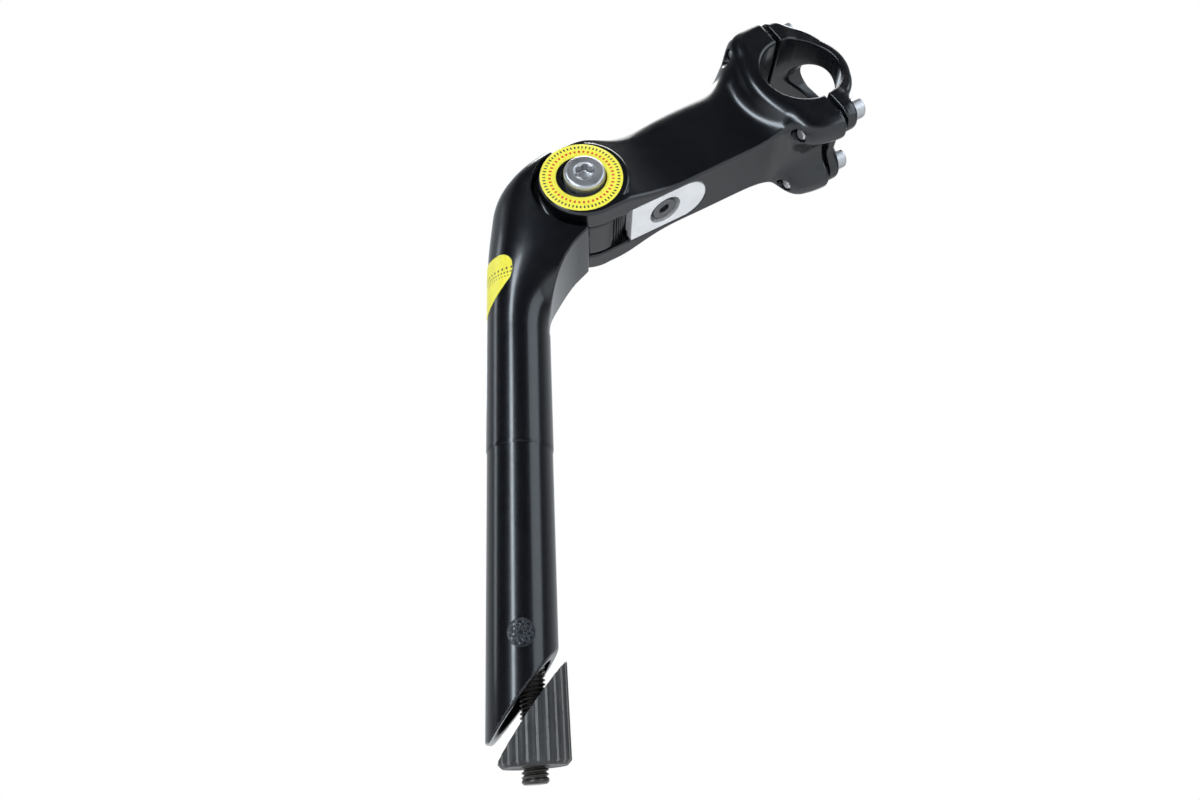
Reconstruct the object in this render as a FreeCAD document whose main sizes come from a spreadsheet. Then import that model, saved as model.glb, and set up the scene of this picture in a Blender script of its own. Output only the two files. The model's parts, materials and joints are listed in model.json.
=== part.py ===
"""Adjustable quill stem: a handlebar stem whose arm tilts on a toothed knuckle.

The frame: +Z runs up the quill, +X points forward along the bicycle, and the origin lies on the
quill's axis at its insertion mark.  The arm's pieces are drawn in the arm's own frame, with the
pivot at the origin, X along the arm and Z square to it, and then placed on the pivot.
"""
import FreeCAD, Part
import math
import os

import Sketcher

V = FreeCAD.Vector

# Driving dimensions, millimetres and degrees.
DIMENSIONS = {
    # Quill and its head
    "quill_dia": 22.2,
    "neck_dia": 22.7,
    "quill_tip": 91.8,
    "guide_length": 65.0,
    "lower_dia": 21.4,
    "slant_angle": 52.0,
    "slant_drop": 79.6,
    "tube_bore": 16.5,
    "neck_base": 36.0,
    "seat_level": 60.0,
    "seat_web": 6.0,
    "well_dia": 14.4,
    "bolt_passage": 9.0,
    "pivot_ahead": 26.0,
    "pivot_up": 102.0,
    "head_width": 31.0,
    "shoulder_radius": 19.8,
    "shoulder_end": 125.0,
    # Knuckle and its teeth
    "knuckle_radius": 16.5,
    "knuckle_width": 16.6,
    "tooth_depth": 0.75,
    "tooth_pitch": 5.0,
    "tooth_count": 19.0,
    "first_tooth": -50.1,
    # Expander
    "expander_lean": 1.2,
    "expander_thread": 8.0,
    "expander_head_dia": 13.0,
    "expander_head_height": 8.0,
    "expander_key": 6.0,
    "expander_length": 163.0,
    "washer_dia": 13.6,
    "washer_thickness": 1.2,
    "washer_float": 0.2,
    "wedge_dia": 21.6,
    "wedge_bottom": 98.4,
    "wedge_drop": 83.0,
    "flute_count": 22.0,
    "flute_radius": 2.4,
    "flute_depth": 0.45,
    # Pivot
    "bush_dia": 13.0,
    "bush_flange_dia": 18.0,
    "bush_flange": 0.7,
    "bush_gap": 1.0,
    "sleeve_dia": 10.0,
    "pivot_thread": 8.0,
    "pivot_head_dia": 15.6,
    "pivot_head_height": 5.4,
    "pivot_recess_dia": 16.8,
    "pivot_recess": 2.0,
    "pivot_key": 6.0,
    "running_gap": 0.05,
    # Arm
    "arm_angle": 27.4,
    "cheek_radius": 17.0,
    "cheek_width": 35.0,
    "slot_width": 18.1,
    "slot_radius": 17.3,
    "slot_depth": 10.5,
    "arm_width": 24.6,
    "clamp_ahead": 100.4,
    "clamp_up": 3.2,
    "clamp_width": 40.6,
    "clamp_bore": 31.8,
    "bore_round": 2.4,
    "split_gap": 1.6,
    "boss_radius": 6.5,
    "boss_across": 29.0,
    "boss_apart": 47.4,
    "core_start": 50.0,
    "core_radius": 9.0,
    # Lock
    "lock_end": 11.1,
    "lock_centre": 35.3,
    "lock_width": 19.0,
    "lock_depth": 7.6,
    "lock_clearance": 0.15,
    "lock_travel": 0.9,
    "lock_bolt_ahead": 26.3,
    "lock_thread": 6.0,
    "lock_head_dia": 10.0,
    "lock_head_height": 4.0,
    "lock_key": 4.0,
    "lock_counterbore": 13.4,
    "lock_sink": 5.6,
    "lock_washer_dia": 12.0,
    "lock_washer_thickness": 1.0,
    "lock_bolt_length": 22.0,
    "lock_tapping_length": 31.0,
    # Faceplate and its bolts
    "plate_radius": 20.0,
    "plate_waist": 29.0,
    "plate_scoop": 23.2,
    "window_width": 18.0,
    "window_height": 30.4,
    "ear_seat": 106.8,
    "spot_face_dia": 9.4,
    "seat_gap": 0.02,
    "face_thread": 5.0,
    "face_head_dia": 8.5,
    "face_head_height": 5.0,
    "face_key": 4.0,
    "face_bolt_length": 24.5,
    "thread_gap": 0.05,
    # Labels
    "label_thickness": 0.2,
    "ring_label_outer": 15.4,
    "ring_label_inner": 9.5,
    "ring_label_back": 1.0,
    "ring_label_up": 0.5,
}

# Plan sections of the head: height, centre X, half length along X, half width.
HEAD_SECTIONS = (
    (36.0, 0.0, 11.35, 11.35),
    (46.0, 0.0, 11.35, 11.35),
    (60.0, 2.4, 13.7, 12.7),
    (76.0, 11.0, 22.1, 15.6),
    (92.0, 19.0, 28.4, 17.0),
    (104.0, 21.0, 27.4, 17.6),
    (113.0, 22.0, 22.0, 17.6),
    (121.5, 24.0, 14.5, 13.5),
)

# Side outline of the head: X and Z of each corner, and the round on it.
HEAD_OUTLINE = (
    (-13.0, 36.0, 0.0),
    (-13.0, 122.0, 0.0),
    (9.0, 121.5, 3.0),
    (14.64, 118.2, 0.0),
    (26.0, 102.0, 0.0),
    (27.2, 82.2, 0.0),
    (11.35, 64.5, 45.0),
    (11.35, 36.0, 0.0),
)

# Cross sections of the arm: distance ahead of the pivot, half width, crown height, corner round.
ARM_SECTIONS = (
    (0.0, 17.4, 17.0, 1.5),
    (9.0, 17.2, 17.2, 2.5),
    (18.0, 14.6, 17.5, 6.5),
    (27.0, 12.6, 17.9, 9.5),
    (40.0, 12.3, 18.8, 10.5),
    (60.0, 12.3, 20.4, 10.8),
    (73.0, 12.7, 21.8, 11.0),
    (80.0, 14.8, 24.2, 11.0),
    (87.0, 18.2, 28.6, 10.0),
    (93.0, 20.0, 31.6, 9.0),
    (99.6, 20.3, 33.0, 8.0),
)

# Outline of the wrapped label, as seen from the side: X and Z of each corner, and the round.
LABEL_OUTLINE = (
    (-14.0, 73.6, 0.0),
    (-5.6, 73.6, 4.0),
    (-1.2, 69.4, 4.0),
    (-1.6, 63.4, 3.0),
    (-11.4, 52.2, 0.0),
    (-14.0, 51.6, 0.0),
)

doc = FreeCAD.newDocument("QuillStem")


def make_sheet():
    """Puts the driving dimensions in the spreadsheet, one aliased cell each."""
    sheet = doc.addObject("Spreadsheet::Sheet", "Dims")
    for row, (alias, number) in enumerate(DIMENSIONS.items(), start=1):
        sheet.set(f"A{row}", alias)
        sheet.set(f"B{row}", str(number))
        sheet.setAlias(f"B{row}", alias)
    doc.recompute()
    return sheet


dims = make_sheet()


def value(text):
    """The number that an expression on the sheet gives now."""
    return float(dims.evalExpression(text))


def bind(obj, **paths):
    """Binds properties to expressions; a double underscore stands for a dot in the path."""
    for path, text in paths.items():
        obj.setExpression(path.replace("__", "."), text)
    return obj


# ---------------------------------------------------------------- sketches

def new_body(name):
    """A PartDesign body whose label is the name of its node."""
    body = doc.addObject("PartDesign::Body", name)
    body.Label = name
    return body


def sketch_on(body, name, role, offset="0"):
    """A sketch on one of the body's own origin planes, moved along that plane's normal."""
    plane = next(item for item in body.Origin.OriginFeatures if item.Role == role)
    sketch = body.newObject("Sketcher::SketchObject", name)
    sketch.AttachmentSupport = [(plane, "")]
    sketch.MapMode = "FlatFace"
    return bind(sketch, AttachmentOffset__Base__z=offset)


def hold(sketch, geometry, point, across, up):
    """Holds one point of a sketch at the place that two expressions give."""
    for axis, kind, text in ((-2, "DistanceX", across), (-1, "DistanceY", up)):
        if text == "0":
            sketch.addConstraint(Sketcher.Constraint("PointOnObject", geometry, point, axis))
        else:
            rule = Sketcher.Constraint(kind, -1, 1, geometry, point, value(text))
            index = sketch.addConstraint(rule)
            sketch.setExpression(f"Constraints[{index}]", text)


def draw_circle(sketch, radius, across="0", up="0"):
    """A circle held by its centre and radius."""
    centre = V(value(across), value(up), 0)
    index = sketch.addGeometry(Part.Circle(centre, V(0, 0, 1), value(radius)))
    hold(sketch, index, 3, across, up)
    rule = sketch.addConstraint(Sketcher.Constraint("Radius", index, value(radius)))
    sketch.setExpression(f"Constraints[{rule}]", radius)


def draw_outline(sketch, corners):
    """A closed outline of straight sides, each corner held by two expressions."""
    points = [V(value(across), value(up), 0) for across, up in corners]
    first = sketch.GeometryCount
    count = len(points)
    for step in range(count):
        sketch.addGeometry(Part.LineSegment(points[step], points[(step + 1) % count]))
    for step in range(count):
        following = first + (step + 1) % count
        sketch.addConstraint(Sketcher.Constraint("Coincident", first + step, 2, following, 1))
    for step, (across, up) in enumerate(corners):
        hold(sketch, first + step, 1, across, up)


def draw_hexagon(sketch, across_flats):
    """A hexagon round the sketch's origin, by the distance across its flats."""
    reach = f"({across_flats}) / sqrt(3)"
    half = f"({across_flats}) / 2"
    draw_outline(sketch, (
        (reach, "0"),
        (f"{reach} / 2", half),
        (f"-{reach} / 2", half),
        (f"-{reach}", "0"),
        (f"-{reach} / 2", f"-({half})"),
        (f"{reach} / 2", f"-({half})"),
    ))


def pad(body, sketch, length, symmetric=False, back=False):
    """Pads a sketch along its normal, both ways from it or backwards."""
    feature = body.newObject("PartDesign::Pad", sketch.Name + "_pad")
    feature.Profile = sketch
    feature.SideType = "Symmetric" if symmetric else "One side"
    feature.Reversed = back
    return bind(feature, Length=length)


def pocket(body, sketch, length, back=False, symmetric=False):
    """Cuts a sketch into the body: against its normal, with back along it, or both ways."""
    doc.recompute()
    before = body.Shape.Volume
    feature = body.newObject("PartDesign::Pocket", sketch.Name + "_pocket")
    feature.Profile = sketch
    feature.SideType = "Symmetric" if symmetric else "One side"
    feature.Reversed = back
    bind(feature, Length=length)
    doc.recompute()
    if body.Shape.Volume > before - 1e-6:
        raise RuntimeError(feature.Name + " cuts nothing")
    return feature


def spin(body, sketch, axis="V_Axis"):
    """Revolves a sketch a full turn round one of its own axes."""
    feature = body.newObject("PartDesign::Revolution", sketch.Name + "_spin")
    feature.Profile = sketch
    feature.ReferenceAxis = (sketch, [axis])
    feature.Angle = 360
    return feature


def edges_where(shape, test):
    """Names of the edges whose midpoint and direction pass the test."""
    names = []
    for number, edge in enumerate(shape.Edges, start=1):
        middle = edge.valueAt((edge.FirstParameter + edge.LastParameter) / 2)
        if test(edge, middle):
            names.append(f"Edge{number}")
    return names


def round_edges(body, test, radius, name):
    """Rounds the chosen edges of the body's tip."""
    doc.recompute()
    base = body.Tip
    feature = body.newObject("PartDesign::Fillet", name)
    feature.Base = (base, edges_where(base.Shape, test))
    return bind(feature, Radius=radius)


def bevel_edges(body, test, size, name):
    """Chamfers the chosen edges of the body's tip."""
    doc.recompute()
    base = body.Tip
    feature = body.newObject("PartDesign::Chamfer", name)
    feature.Base = (base, edges_where(base.Shape, test))
    return bind(feature, Size=size)


# ---------------------------------------------------------------- solids

TURNS = {
    "X": FreeCAD.Rotation(V(0, 1, 0), 90),
    "Y": FreeCAD.Rotation(V(1, 0, 0), -90),
    "Z": FreeCAD.Rotation(),
}


def place(obj, at=("0", "0", "0"), along="Z"):
    """Sets a solid's own Z along X, Y or Z, and its base at three expressions."""
    obj.Placement = FreeCAD.Placement(V(), TURNS[along])
    across, deep, up = at
    return bind(obj, Placement__Base__x=across, Placement__Base__y=deep, Placement__Base__z=up)


def rod(name, radius, length, at=("0", "0", "0"), along="Z"):
    """A cylinder that starts at a point and runs along an axis."""
    obj = doc.addObject("Part::Cylinder", name)
    return place(bind(obj, Radius=radius, Height=length), at, along)


def block(name, size, at):
    """A box by its three sizes and its lowest corner."""
    obj = doc.addObject("Part::Box", name)
    length, width, height = size
    return place(bind(obj, Length=length, Width=width, Height=height), at)


def join(name, *pieces):
    """The union of several solids."""
    obj = doc.addObject("Part::MultiFuse", name)
    obj.Shapes = list(pieces)
    obj.Refine = True
    return obj


def shared(name, *pieces):
    """The part that several solids have in common."""
    obj = doc.addObject("Part::MultiCommon", name)
    obj.Shapes = list(pieces)
    return obj


def carve(name, base, *tools):
    """A solid with one or more tools cut out of it."""
    obj = doc.addObject("Part::Cut", name)
    obj.Base = base
    obj.Tool = tools[0] if len(tools) == 1 else join(name + "_tools", *tools)
    obj.Refine = True
    return obj


def side_prism(name, corners, width):
    """A prism across the stem from a side outline, with its marked corners rounded."""
    body = new_body(name)
    sketch = sketch_on(body, name + "_outline", "XZ_Plane")
    draw_outline(sketch, [(str(corner[0]), str(corner[1])) for corner in corners])
    pad(body, sketch, width, symmetric=True)
    for number, corner in enumerate(corners, start=1):
        if len(corner) == 3 and corner[2]:
            place_there = V(corner[0], 0, corner[1])

            def at_corner(edge, middle, there=place_there):
                return V(middle.x, 0, middle.z).distanceToPoint(there) < 0.01

            round_edges(body, at_corner, str(corner[2]), f"{name}_round{number}")
    return body


def oval_loft(name, sections, extra="0"):
    """A loft through level ovals, each grown by the same extra."""
    ovals = []
    for number, (height, centre, half_length, half_width) in enumerate(sections, start=1):
        oval = doc.addObject("Part::Ellipse", f"{name}_oval{number}")
        lengthwise = half_length >= half_width
        longer, shorter = max(half_length, half_width), min(half_length, half_width)
        bind(oval, MajorRadius=f"{longer} + {extra}", MinorRadius=f"{shorter} + {extra}")
        oval.Placement = FreeCAD.Placement(
            V(centre, 0, height), FreeCAD.Rotation(V(0, 0, 1), 0 if lengthwise else 90))
        ovals.append(oval)
    loft = doc.addObject("Part::Loft", name)
    loft.Sections = ovals
    loft.Solid = True
    return loft


def arch_wire(ahead, half_width, base, crown, corner):
    """A cross section square to the arm: flat base, upright sides, rounded upper corners."""
    lean = corner * (1 - math.sqrt(0.5))
    side = half_width
    points = (
        V(ahead, -side, base),
        V(ahead, side, base),
        V(ahead, side, crown - corner),
        V(ahead, side - lean, crown - lean),
        V(ahead, side - corner, crown),
        V(ahead, corner - side, crown),
        V(ahead, lean - side, crown - lean),
        V(ahead, -side, crown - corner),
    )
    return Part.Wire([
        Part.makeLine(points[0], points[1]),
        Part.makeLine(points[1], points[2]),
        Part.Arc(points[2], points[3], points[4]).toShape(),
        Part.makeLine(points[4], points[5]),
        Part.Arc(points[5], points[6], points[7]).toShape(),
        Part.makeLine(points[7], points[0]),
    ])


def on_pivot(obj, tilted=True):
    """Places a piece drawn round the pivot: on it, and turned up with the arm."""
    angle = value("Dims.arm_angle") if tilted else 0
    obj.Placement = FreeCAD.Placement(V(), FreeCAD.Rotation(V(0, -1, 0), angle))
    bind(obj, Placement__Base__x="Dims.pivot_ahead", Placement__Base__z="Dims.pivot_up")
    if tilted:
        bind(obj, Placement__Rotation__Angle="Dims.arm_angle")
    return obj


def name_node(obj, label):
    """Gives a sub-part the label that names its file."""
    obj.Label = label
    return obj


# ---------------------------------------------------------------- quill

def make_knuckle():
    """The knuckle in the middle of the head: a disc with V-shaped tooth spaces in its front."""
    body = new_body("knuckle")
    disc = sketch_on(body, "knuckle_disc", "XZ_Plane")
    draw_circle(disc, "Dims.knuckle_radius")
    pad(body, disc, "Dims.knuckle_width", symmetric=True)
    space = sketch_on(body, "tooth_space", "XZ_Plane")
    tip = "Dims.knuckle_radius"
    root = "(Dims.knuckle_radius - Dims.tooth_depth)"
    angle = "(Dims.first_tooth * 1 deg)"
    corners = []
    for reach, spread in ((f"{tip} + 0.2", -2.2), (root, -0.8), (root, 0.8), (f"{tip} + 0.2", 2.2)):
        turn = f"({angle} + {spread} deg)"
        corners.append((f"({reach}) * cos({turn})", f"({reach}) * sin({turn})"))
    draw_outline(space, corners)
    cut = pocket(body, space, "2 * Dims.knuckle_width", symmetric=True)
    row = body.newObject("PartDesign::PolarPattern", "tooth_row")
    row.Originals = [cut]
    axis = next(item for item in body.Origin.OriginFeatures if item.Role == "Y_Axis")
    row.Axis = (axis, [""])
    row.Reversed = True
    bind(row, Occurrences="Dims.tooth_count", Angle="(Dims.tooth_count - 1) * Dims.tooth_pitch")
    body.Tip = row
    return on_pivot(body, tilted=False)


def make_head():
    """The head: lofted ovals trimmed to the side outline, with arcs cleared for the cheeks."""
    blank = shared(
        "head_blank",
        side_prism("head_side", HEAD_OUTLINE, "Dims.head_width"),
        oval_loft("head_plan", HEAD_SECTIONS),
    )
    depth = "(Dims.head_width - Dims.knuckle_width) / 2 + 1"
    arcs = [
        rod(f"cheek_arc_{side}", "Dims.shoulder_radius", depth,
            ("Dims.pivot_ahead", start, "Dims.pivot_up"), along="Y")
        for side, start in (("left", "Dims.knuckle_width / 2"),
                            ("right", "-Dims.head_width / 2 - 1"))
    ]
    return carve("head_form", blank, *arcs)


def slant_prism(name, drop, far_level):
    """Everything between the slanted plane of the expander and a far level."""
    rise = "40 * tan(Dims.slant_angle * 1 deg)"
    return side_prism(name, (
        ("-40", f"-({drop}) - {rise}"),
        ("40", f"-({drop}) + {rise}"),
        ("40", far_level),
        ("-40", far_level),
    ), "60")


def make_quill_body():
    """Tube, head and knuckle in one forging, bored for the expander and the pivot bushes."""
    guide = rod("guide_tube", "Dims.quill_dia / 2", "Dims.guide_length",
                ("0", "0", "-Dims.guide_length"))
    lower = rod("lower_tube", "Dims.lower_dia / 2", "Dims.quill_tip", ("0", "0", "-Dims.quill_tip"))
    neck = rod("neck_tube", "Dims.neck_dia / 2", "Dims.neck_base")
    blank = join("quill_blank", guide, lower, neck, make_head(), make_knuckle())
    web_under = "(Dims.seat_level - Dims.seat_web)"
    body = carve(
        "quill_body_form", blank,
        slant_prism("slant_tool", "Dims.slant_drop", "-160"),
        rod("tube_bore", "Dims.tube_bore / 2", f"{web_under} + 100", ("0", "0", "-100")),
        rod("bolt_passage", "Dims.bolt_passage / 2", "Dims.seat_web + 2",
            ("0", "0", f"{web_under} - 1")),
        rod("bolt_well", "Dims.well_dia / 2", "80", ("0", "0", "Dims.seat_level")),
        rod("bush_bore", "Dims.bush_dia / 2", "40",
            ("Dims.pivot_ahead", "-20", "Dims.pivot_up"), along="Y"),
    )
    return name_node(body, "quill_body")


def make_quill_label():
    """A thin label wrapped round the back of the neck."""
    skin = oval_loft("label_skin", HEAD_SECTIONS, "Dims.label_thickness")
    core = oval_loft("label_core", HEAD_SECTIONS)
    outline = side_prism("label_outline", LABEL_OUTLINE, "40")
    return name_node(shared("label_form", carve("label_shell", skin, core), outline),
                     "quill_label")


# ---------------------------------------------------------------- screws and expander

def make_screw(name, head_dia, head_height, thread_dia, length, key):
    """A socket screw with its seat at the origin, its head up and its shank down."""
    body = new_body(name)
    profile = sketch_on(body, name + "_profile", "XZ_Plane")
    head = f"{head_dia} / 2"
    shank = f"{thread_dia} / 2"
    draw_outline(profile, (
        ("0", f"-({length})"),
        (f"{shank} - 0.6", f"-({length})"),
        (shank, f"-({length}) + 0.6"),
        (shank, "0"),
        (head, "0"),
        (head, f"{head_height} - 0.6"),
        (f"{head} - 0.6", head_height),
        ("0", head_height),
    ))
    spin(body, profile)
    socket = sketch_on(body, name + "_socket", "XY_Plane", head_height)
    draw_hexagon(socket, key)
    pocket(body, socket, f"0.6 * ({head_height})")
    return body


def lean_with_bolt(obj, up="0"):
    """Leans a piece of the expander about the seat in the head, raised by an offset."""
    lean = "(Dims.expander_lean * 1 deg)"
    obj.Placement = FreeCAD.Placement(
        V(), FreeCAD.Rotation(V(0, -1, 0), value("Dims.expander_lean")))
    rise = f"({up} - Dims.seat_level)"
    return bind(
        obj,
        Placement__Rotation__Angle="Dims.expander_lean",
        Placement__Base__x=f"-{rise} * sin({lean})",
        Placement__Base__z=f"Dims.seat_level + {rise} * cos({lean})",
    )


def make_expander():
    """The long draw bolt, the washer under its head and the fluted wedge on its end."""
    stack = "(Dims.washer_float + Dims.washer_thickness)"
    bolt = make_screw("expander_bolt", "Dims.expander_head_dia", "Dims.expander_head_height",
                      "Dims.expander_thread", f"Dims.expander_length + {stack}",
                      "Dims.expander_key")
    lean_with_bolt(bolt, f"Dims.seat_level + {stack}")

    washer = new_body("expander_washer")
    ring = sketch_on(washer, "expander_washer_ring", "XY_Plane",
                     "Dims.seat_level + Dims.washer_float")
    draw_circle(ring, "Dims.washer_dia / 2")
    draw_circle(ring, "Dims.expander_thread / 2 + Dims.running_gap")
    pad(washer, ring, "Dims.washer_thickness")
    lean_with_bolt(washer)

    wedge = new_body("expander_wedge")
    blank = sketch_on(wedge, "wedge_round", "XY_Plane", "-Dims.wedge_bottom")
    draw_circle(blank, "Dims.wedge_dia / 2")
    draw_circle(blank, "Dims.expander_thread / 2 + Dims.running_gap")
    pad(wedge, blank, "Dims.wedge_bottom - 40")
    bevel_edges(
        wedge,
        lambda edge, middle: abs(edge.Length - math.pi * value("Dims.wedge_dia")) < 1
        and middle.z < -90,
        "1.2", "wedge_foot")
    slope = sketch_on(wedge, "wedge_slope", "XZ_Plane")
    rise = "40 * tan(Dims.slant_angle * 1 deg)"
    draw_outline(slope, (
        ("-40", f"-Dims.wedge_drop - {rise}"),
        ("40", f"-Dims.wedge_drop + {rise}"),
        ("40", "20"),
        ("-40", "20"),
    ))
    pocket(wedge, slope, "60", symmetric=True)
    flute = sketch_on(wedge, "wedge_flute", "XY_Plane", "-Dims.wedge_bottom - 1")
    draw_circle(flute, "Dims.flute_radius",
                "Dims.wedge_dia / 2 + Dims.flute_radius - Dims.flute_depth")
    cut = pocket(wedge, flute, "60", back=True)
    row = wedge.newObject("PartDesign::PolarPattern", "flute_row")
    row.Originals = [cut]
    axis = next(item for item in wedge.Origin.OriginFeatures if item.Role == "Z_Axis")
    row.Axis = (axis, [""])
    bind(row, Occurrences="Dims.flute_count")
    row.Angle = 360
    wedge.Tip = row
    lean_with_bolt(wedge)
    return [bolt, washer, wedge]


# ---------------------------------------------------------------- pivot

def make_bush(side, sign):
    """A flanged bush pressed into one side of the knuckle."""
    name = f"pivot_bush_{side}"
    body = new_body(name)
    bore = "(Dims.sleeve_dia / 2 + Dims.running_gap)"
    face = "(Dims.knuckle_width / 2)"
    profile = sketch_on(body, name + "_profile", "XY_Plane")
    draw_outline(profile, (
        (bore, f"{sign} * Dims.bush_gap / 2"),
        ("Dims.bush_dia / 2", f"{sign} * Dims.bush_gap / 2"),
        ("Dims.bush_dia / 2", f"{sign} * {face}"),
        ("Dims.bush_flange_dia / 2", f"{sign} * {face}"),
        ("Dims.bush_flange_dia / 2", f"{sign} * ({face} + Dims.bush_flange)"),
        (bore, f"{sign} * ({face} + Dims.bush_flange)"),
    ))
    spin(body, profile)
    return on_pivot(body, tilted=False)


def in_arm(obj, ahead="0", across="0", up="0", turn=None):
    """Places a piece at a point of the arm's own frame, turned there as a rotation says."""
    angle = "(Dims.arm_angle * 1 deg)"
    arm_turn = FreeCAD.Rotation(V(0, -1, 0), value("Dims.arm_angle"))
    obj.Placement = FreeCAD.Placement(V(), arm_turn.multiply(turn or FreeCAD.Rotation()))
    return bind(
        obj,
        Placement__Base__x=f"Dims.pivot_ahead + ({ahead}) * cos({angle}) - ({up}) * sin({angle})",
        Placement__Base__y=across,
        Placement__Base__z=f"Dims.pivot_up + ({ahead}) * sin({angle}) + ({up}) * cos({angle})",
    )


def make_pivot():
    """The sleeve nut through the bushes and the bolt that closes the fork on it."""
    seat = "(Dims.cheek_width / 2 - Dims.pivot_recess)"
    bolt = make_screw("pivot_bolt", "Dims.pivot_head_dia", "Dims.pivot_head_height",
                      "Dims.pivot_thread", f"{seat} + 6", "Dims.pivot_key")
    in_arm(bolt, across=f"-{seat}", turn=FreeCAD.Rotation(V(1, 0, 0), 90))
    sleeve = make_screw("pivot_sleeve", "Dims.pivot_head_dia", "Dims.pivot_head_height",
                        "Dims.sleeve_dia", f"2 * {seat} - 1", "Dims.pivot_key")
    doc.recompute()
    thread = sketch_on(sleeve, "sleeve_thread", "XY_Plane", f"-(2 * {seat})")
    draw_circle(thread, "Dims.pivot_thread / 2 + Dims.running_gap")
    pocket(sleeve, thread, f"{seat} + 8", back=True)
    in_arm(sleeve, across=seat, turn=FreeCAD.Rotation(V(1, 0, 0), -90))
    return [bolt, sleeve]


# ---------------------------------------------------------------- arm

def boss_places():
    """The four corners of the bar clamp where a bolt runs: name, across and up."""
    for side, sign in (("left", "+"), ("right", "-")):
        for level, lift in (("upper", "+"), ("lower", "-")):
            yield (f"{level}_{side}", f"{sign}Dims.boss_across / 2",
                   f"Dims.clamp_up - 0.6 {lift} Dims.boss_apart / 2")


def make_arm_body():
    """The arm: fork cheeks, hollow beam and the rear half of the bar clamp."""
    beam = doc.addObject("Part::Feature", "arm_beam")
    base = -value("Dims.cheek_radius")
    beam.Shape = Part.makeLoft(
        [arch_wire(ahead, half, base, crown, corner)
         for ahead, half, crown, corner in ARM_SECTIONS], True, False)
    cheeks = rod("cheek_disc", "Dims.cheek_radius", "Dims.cheek_width",
                 ("0", "-Dims.cheek_width / 2", "0"), along="Y")
    split = "(Dims.clamp_ahead - Dims.split_gap / 2)"
    bosses = []
    for place_name, across, up in boss_places():
        start = "78" if "upper" in place_name else "85"
        bosses.append(rod(f"boss_{place_name}", "Dims.boss_radius", f"{split} - {start}",
                          (start, across, up), along="X"))
    saddle = rod("saddle_ring", "Dims.plate_radius", "Dims.clamp_width",
                 ("Dims.clamp_ahead", "-Dims.clamp_width / 2", "Dims.clamp_up"), along="Y")
    envelope = block("arm_envelope", (f"{split} + 30", "Dims.clamp_width", "90"),
                     ("-30", "-Dims.clamp_width / 2", "-45"))
    blank = shared("arm_blank", join("arm_union", beam, cheeks, saddle, *bosses), envelope)

    tools = [
        rod("bar_bore", "Dims.clamp_bore / 2", "60",
            ("Dims.clamp_ahead", "-30", "Dims.clamp_up"), along="Y"),
        rod("fork_slot_round", "Dims.slot_radius", "Dims.slot_width",
            ("0", "-Dims.slot_width / 2", "0"), along="Y"),
        block("fork_slot", ("Dims.slot_depth + 30", "Dims.slot_width", "60"),
              ("-30", "-Dims.slot_width / 2", "-30")),
        rod("sleeve_bore", "Dims.sleeve_dia / 2 + Dims.running_gap", "50",
            ("0", "-25", "0"), along="Y"),
        rod("bolt_recess", "Dims.pivot_recess_dia / 2", "10",
            ("0", "-Dims.cheek_width / 2 + Dims.pivot_recess - 10", "0"), along="Y"),
        rod("sleeve_recess", "Dims.pivot_recess_dia / 2", "10",
            ("0", "Dims.cheek_width / 2 - Dims.pivot_recess", "0"), along="Y"),
        rod("arm_core", "Dims.core_radius", "Dims.clamp_ahead - Dims.core_start",
            ("Dims.core_start", "0", "Dims.clamp_up - 1.5"), along="X"),
        rod("lock_tapping", "Dims.lock_thread / 2 + Dims.running_gap",
            "Dims.lock_tapping_length", ("Dims.lock_bolt_ahead", "0", "-Dims.cheek_radius")),
    ]
    reach = "Dims.lock_depth + Dims.lock_clearance + Dims.lock_travel + 1"
    wide = "(Dims.lock_width / 2 + Dims.lock_clearance)"
    tools.append(block("lock_pocket", ("Dims.lock_centre - Dims.lock_end + 1.1", f"2 * {wide}", reach),
                       ("Dims.lock_end - 1.1", f"-{wide}", "-Dims.cheek_radius - 1")))
    tools.append(rod("lock_pocket_end", wide, reach,
                     ("Dims.lock_centre", "0", "-Dims.cheek_radius - 1")))
    for place_name, across, up in boss_places():
        tools.append(rod(f"tapping_{place_name}", "Dims.face_thread / 2 + Dims.thread_gap",
                         "40", ("64", across, up), along="X"))
    for side, start, ring in (("left", "Dims.clamp_width / 2 - Dims.bore_round",
                               "Dims.clamp_width / 2 - Dims.bore_round"),
                              ("right", "-Dims.clamp_width / 2",
                               "-Dims.clamp_width / 2 + Dims.bore_round")):
        mouth = rod(f"mouth_{side}", "Dims.clamp_bore / 2 + Dims.bore_round", "Dims.bore_round",
                    ("Dims.clamp_ahead", start, "Dims.clamp_up"), along="Y")
        bead = doc.addObject("Part::Torus", f"bead_{side}")
        bind(bead, Radius1="Dims.clamp_bore / 2 + Dims.bore_round", Radius2="Dims.bore_round")
        place(bead, ("Dims.clamp_ahead", ring, "Dims.clamp_up"), along="Y")
        tools.append(carve(f"mouth_tool_{side}", mouth, bead))
    for level, up in (("upper", "Dims.clamp_up + 33.5"), ("lower", "Dims.clamp_up - 28.5")):
        tools.append(rod(f"valley_{level}", "8.5", "40", ("88", "0", up), along="X"))
    arm = carve("arm_body_form", blank, *tools)
    return name_node(in_arm(arm), "arm_body")


def make_pivot_label():
    """A ring label on the right cheek, stuck on a little behind the pivot bolt."""
    body = new_body("pivot_label")
    sketch = sketch_on(body, "pivot_label_ring", "XZ_Plane", "Dims.cheek_width / 2")
    place_there = ("-Dims.ring_label_back", "Dims.ring_label_up")
    draw_circle(sketch, "Dims.ring_label_outer", *place_there)
    draw_circle(sketch, "Dims.ring_label_inner", *place_there)
    pad(body, sketch, "Dims.label_thickness")
    return in_arm(body)


# ---------------------------------------------------------------- lock

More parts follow.
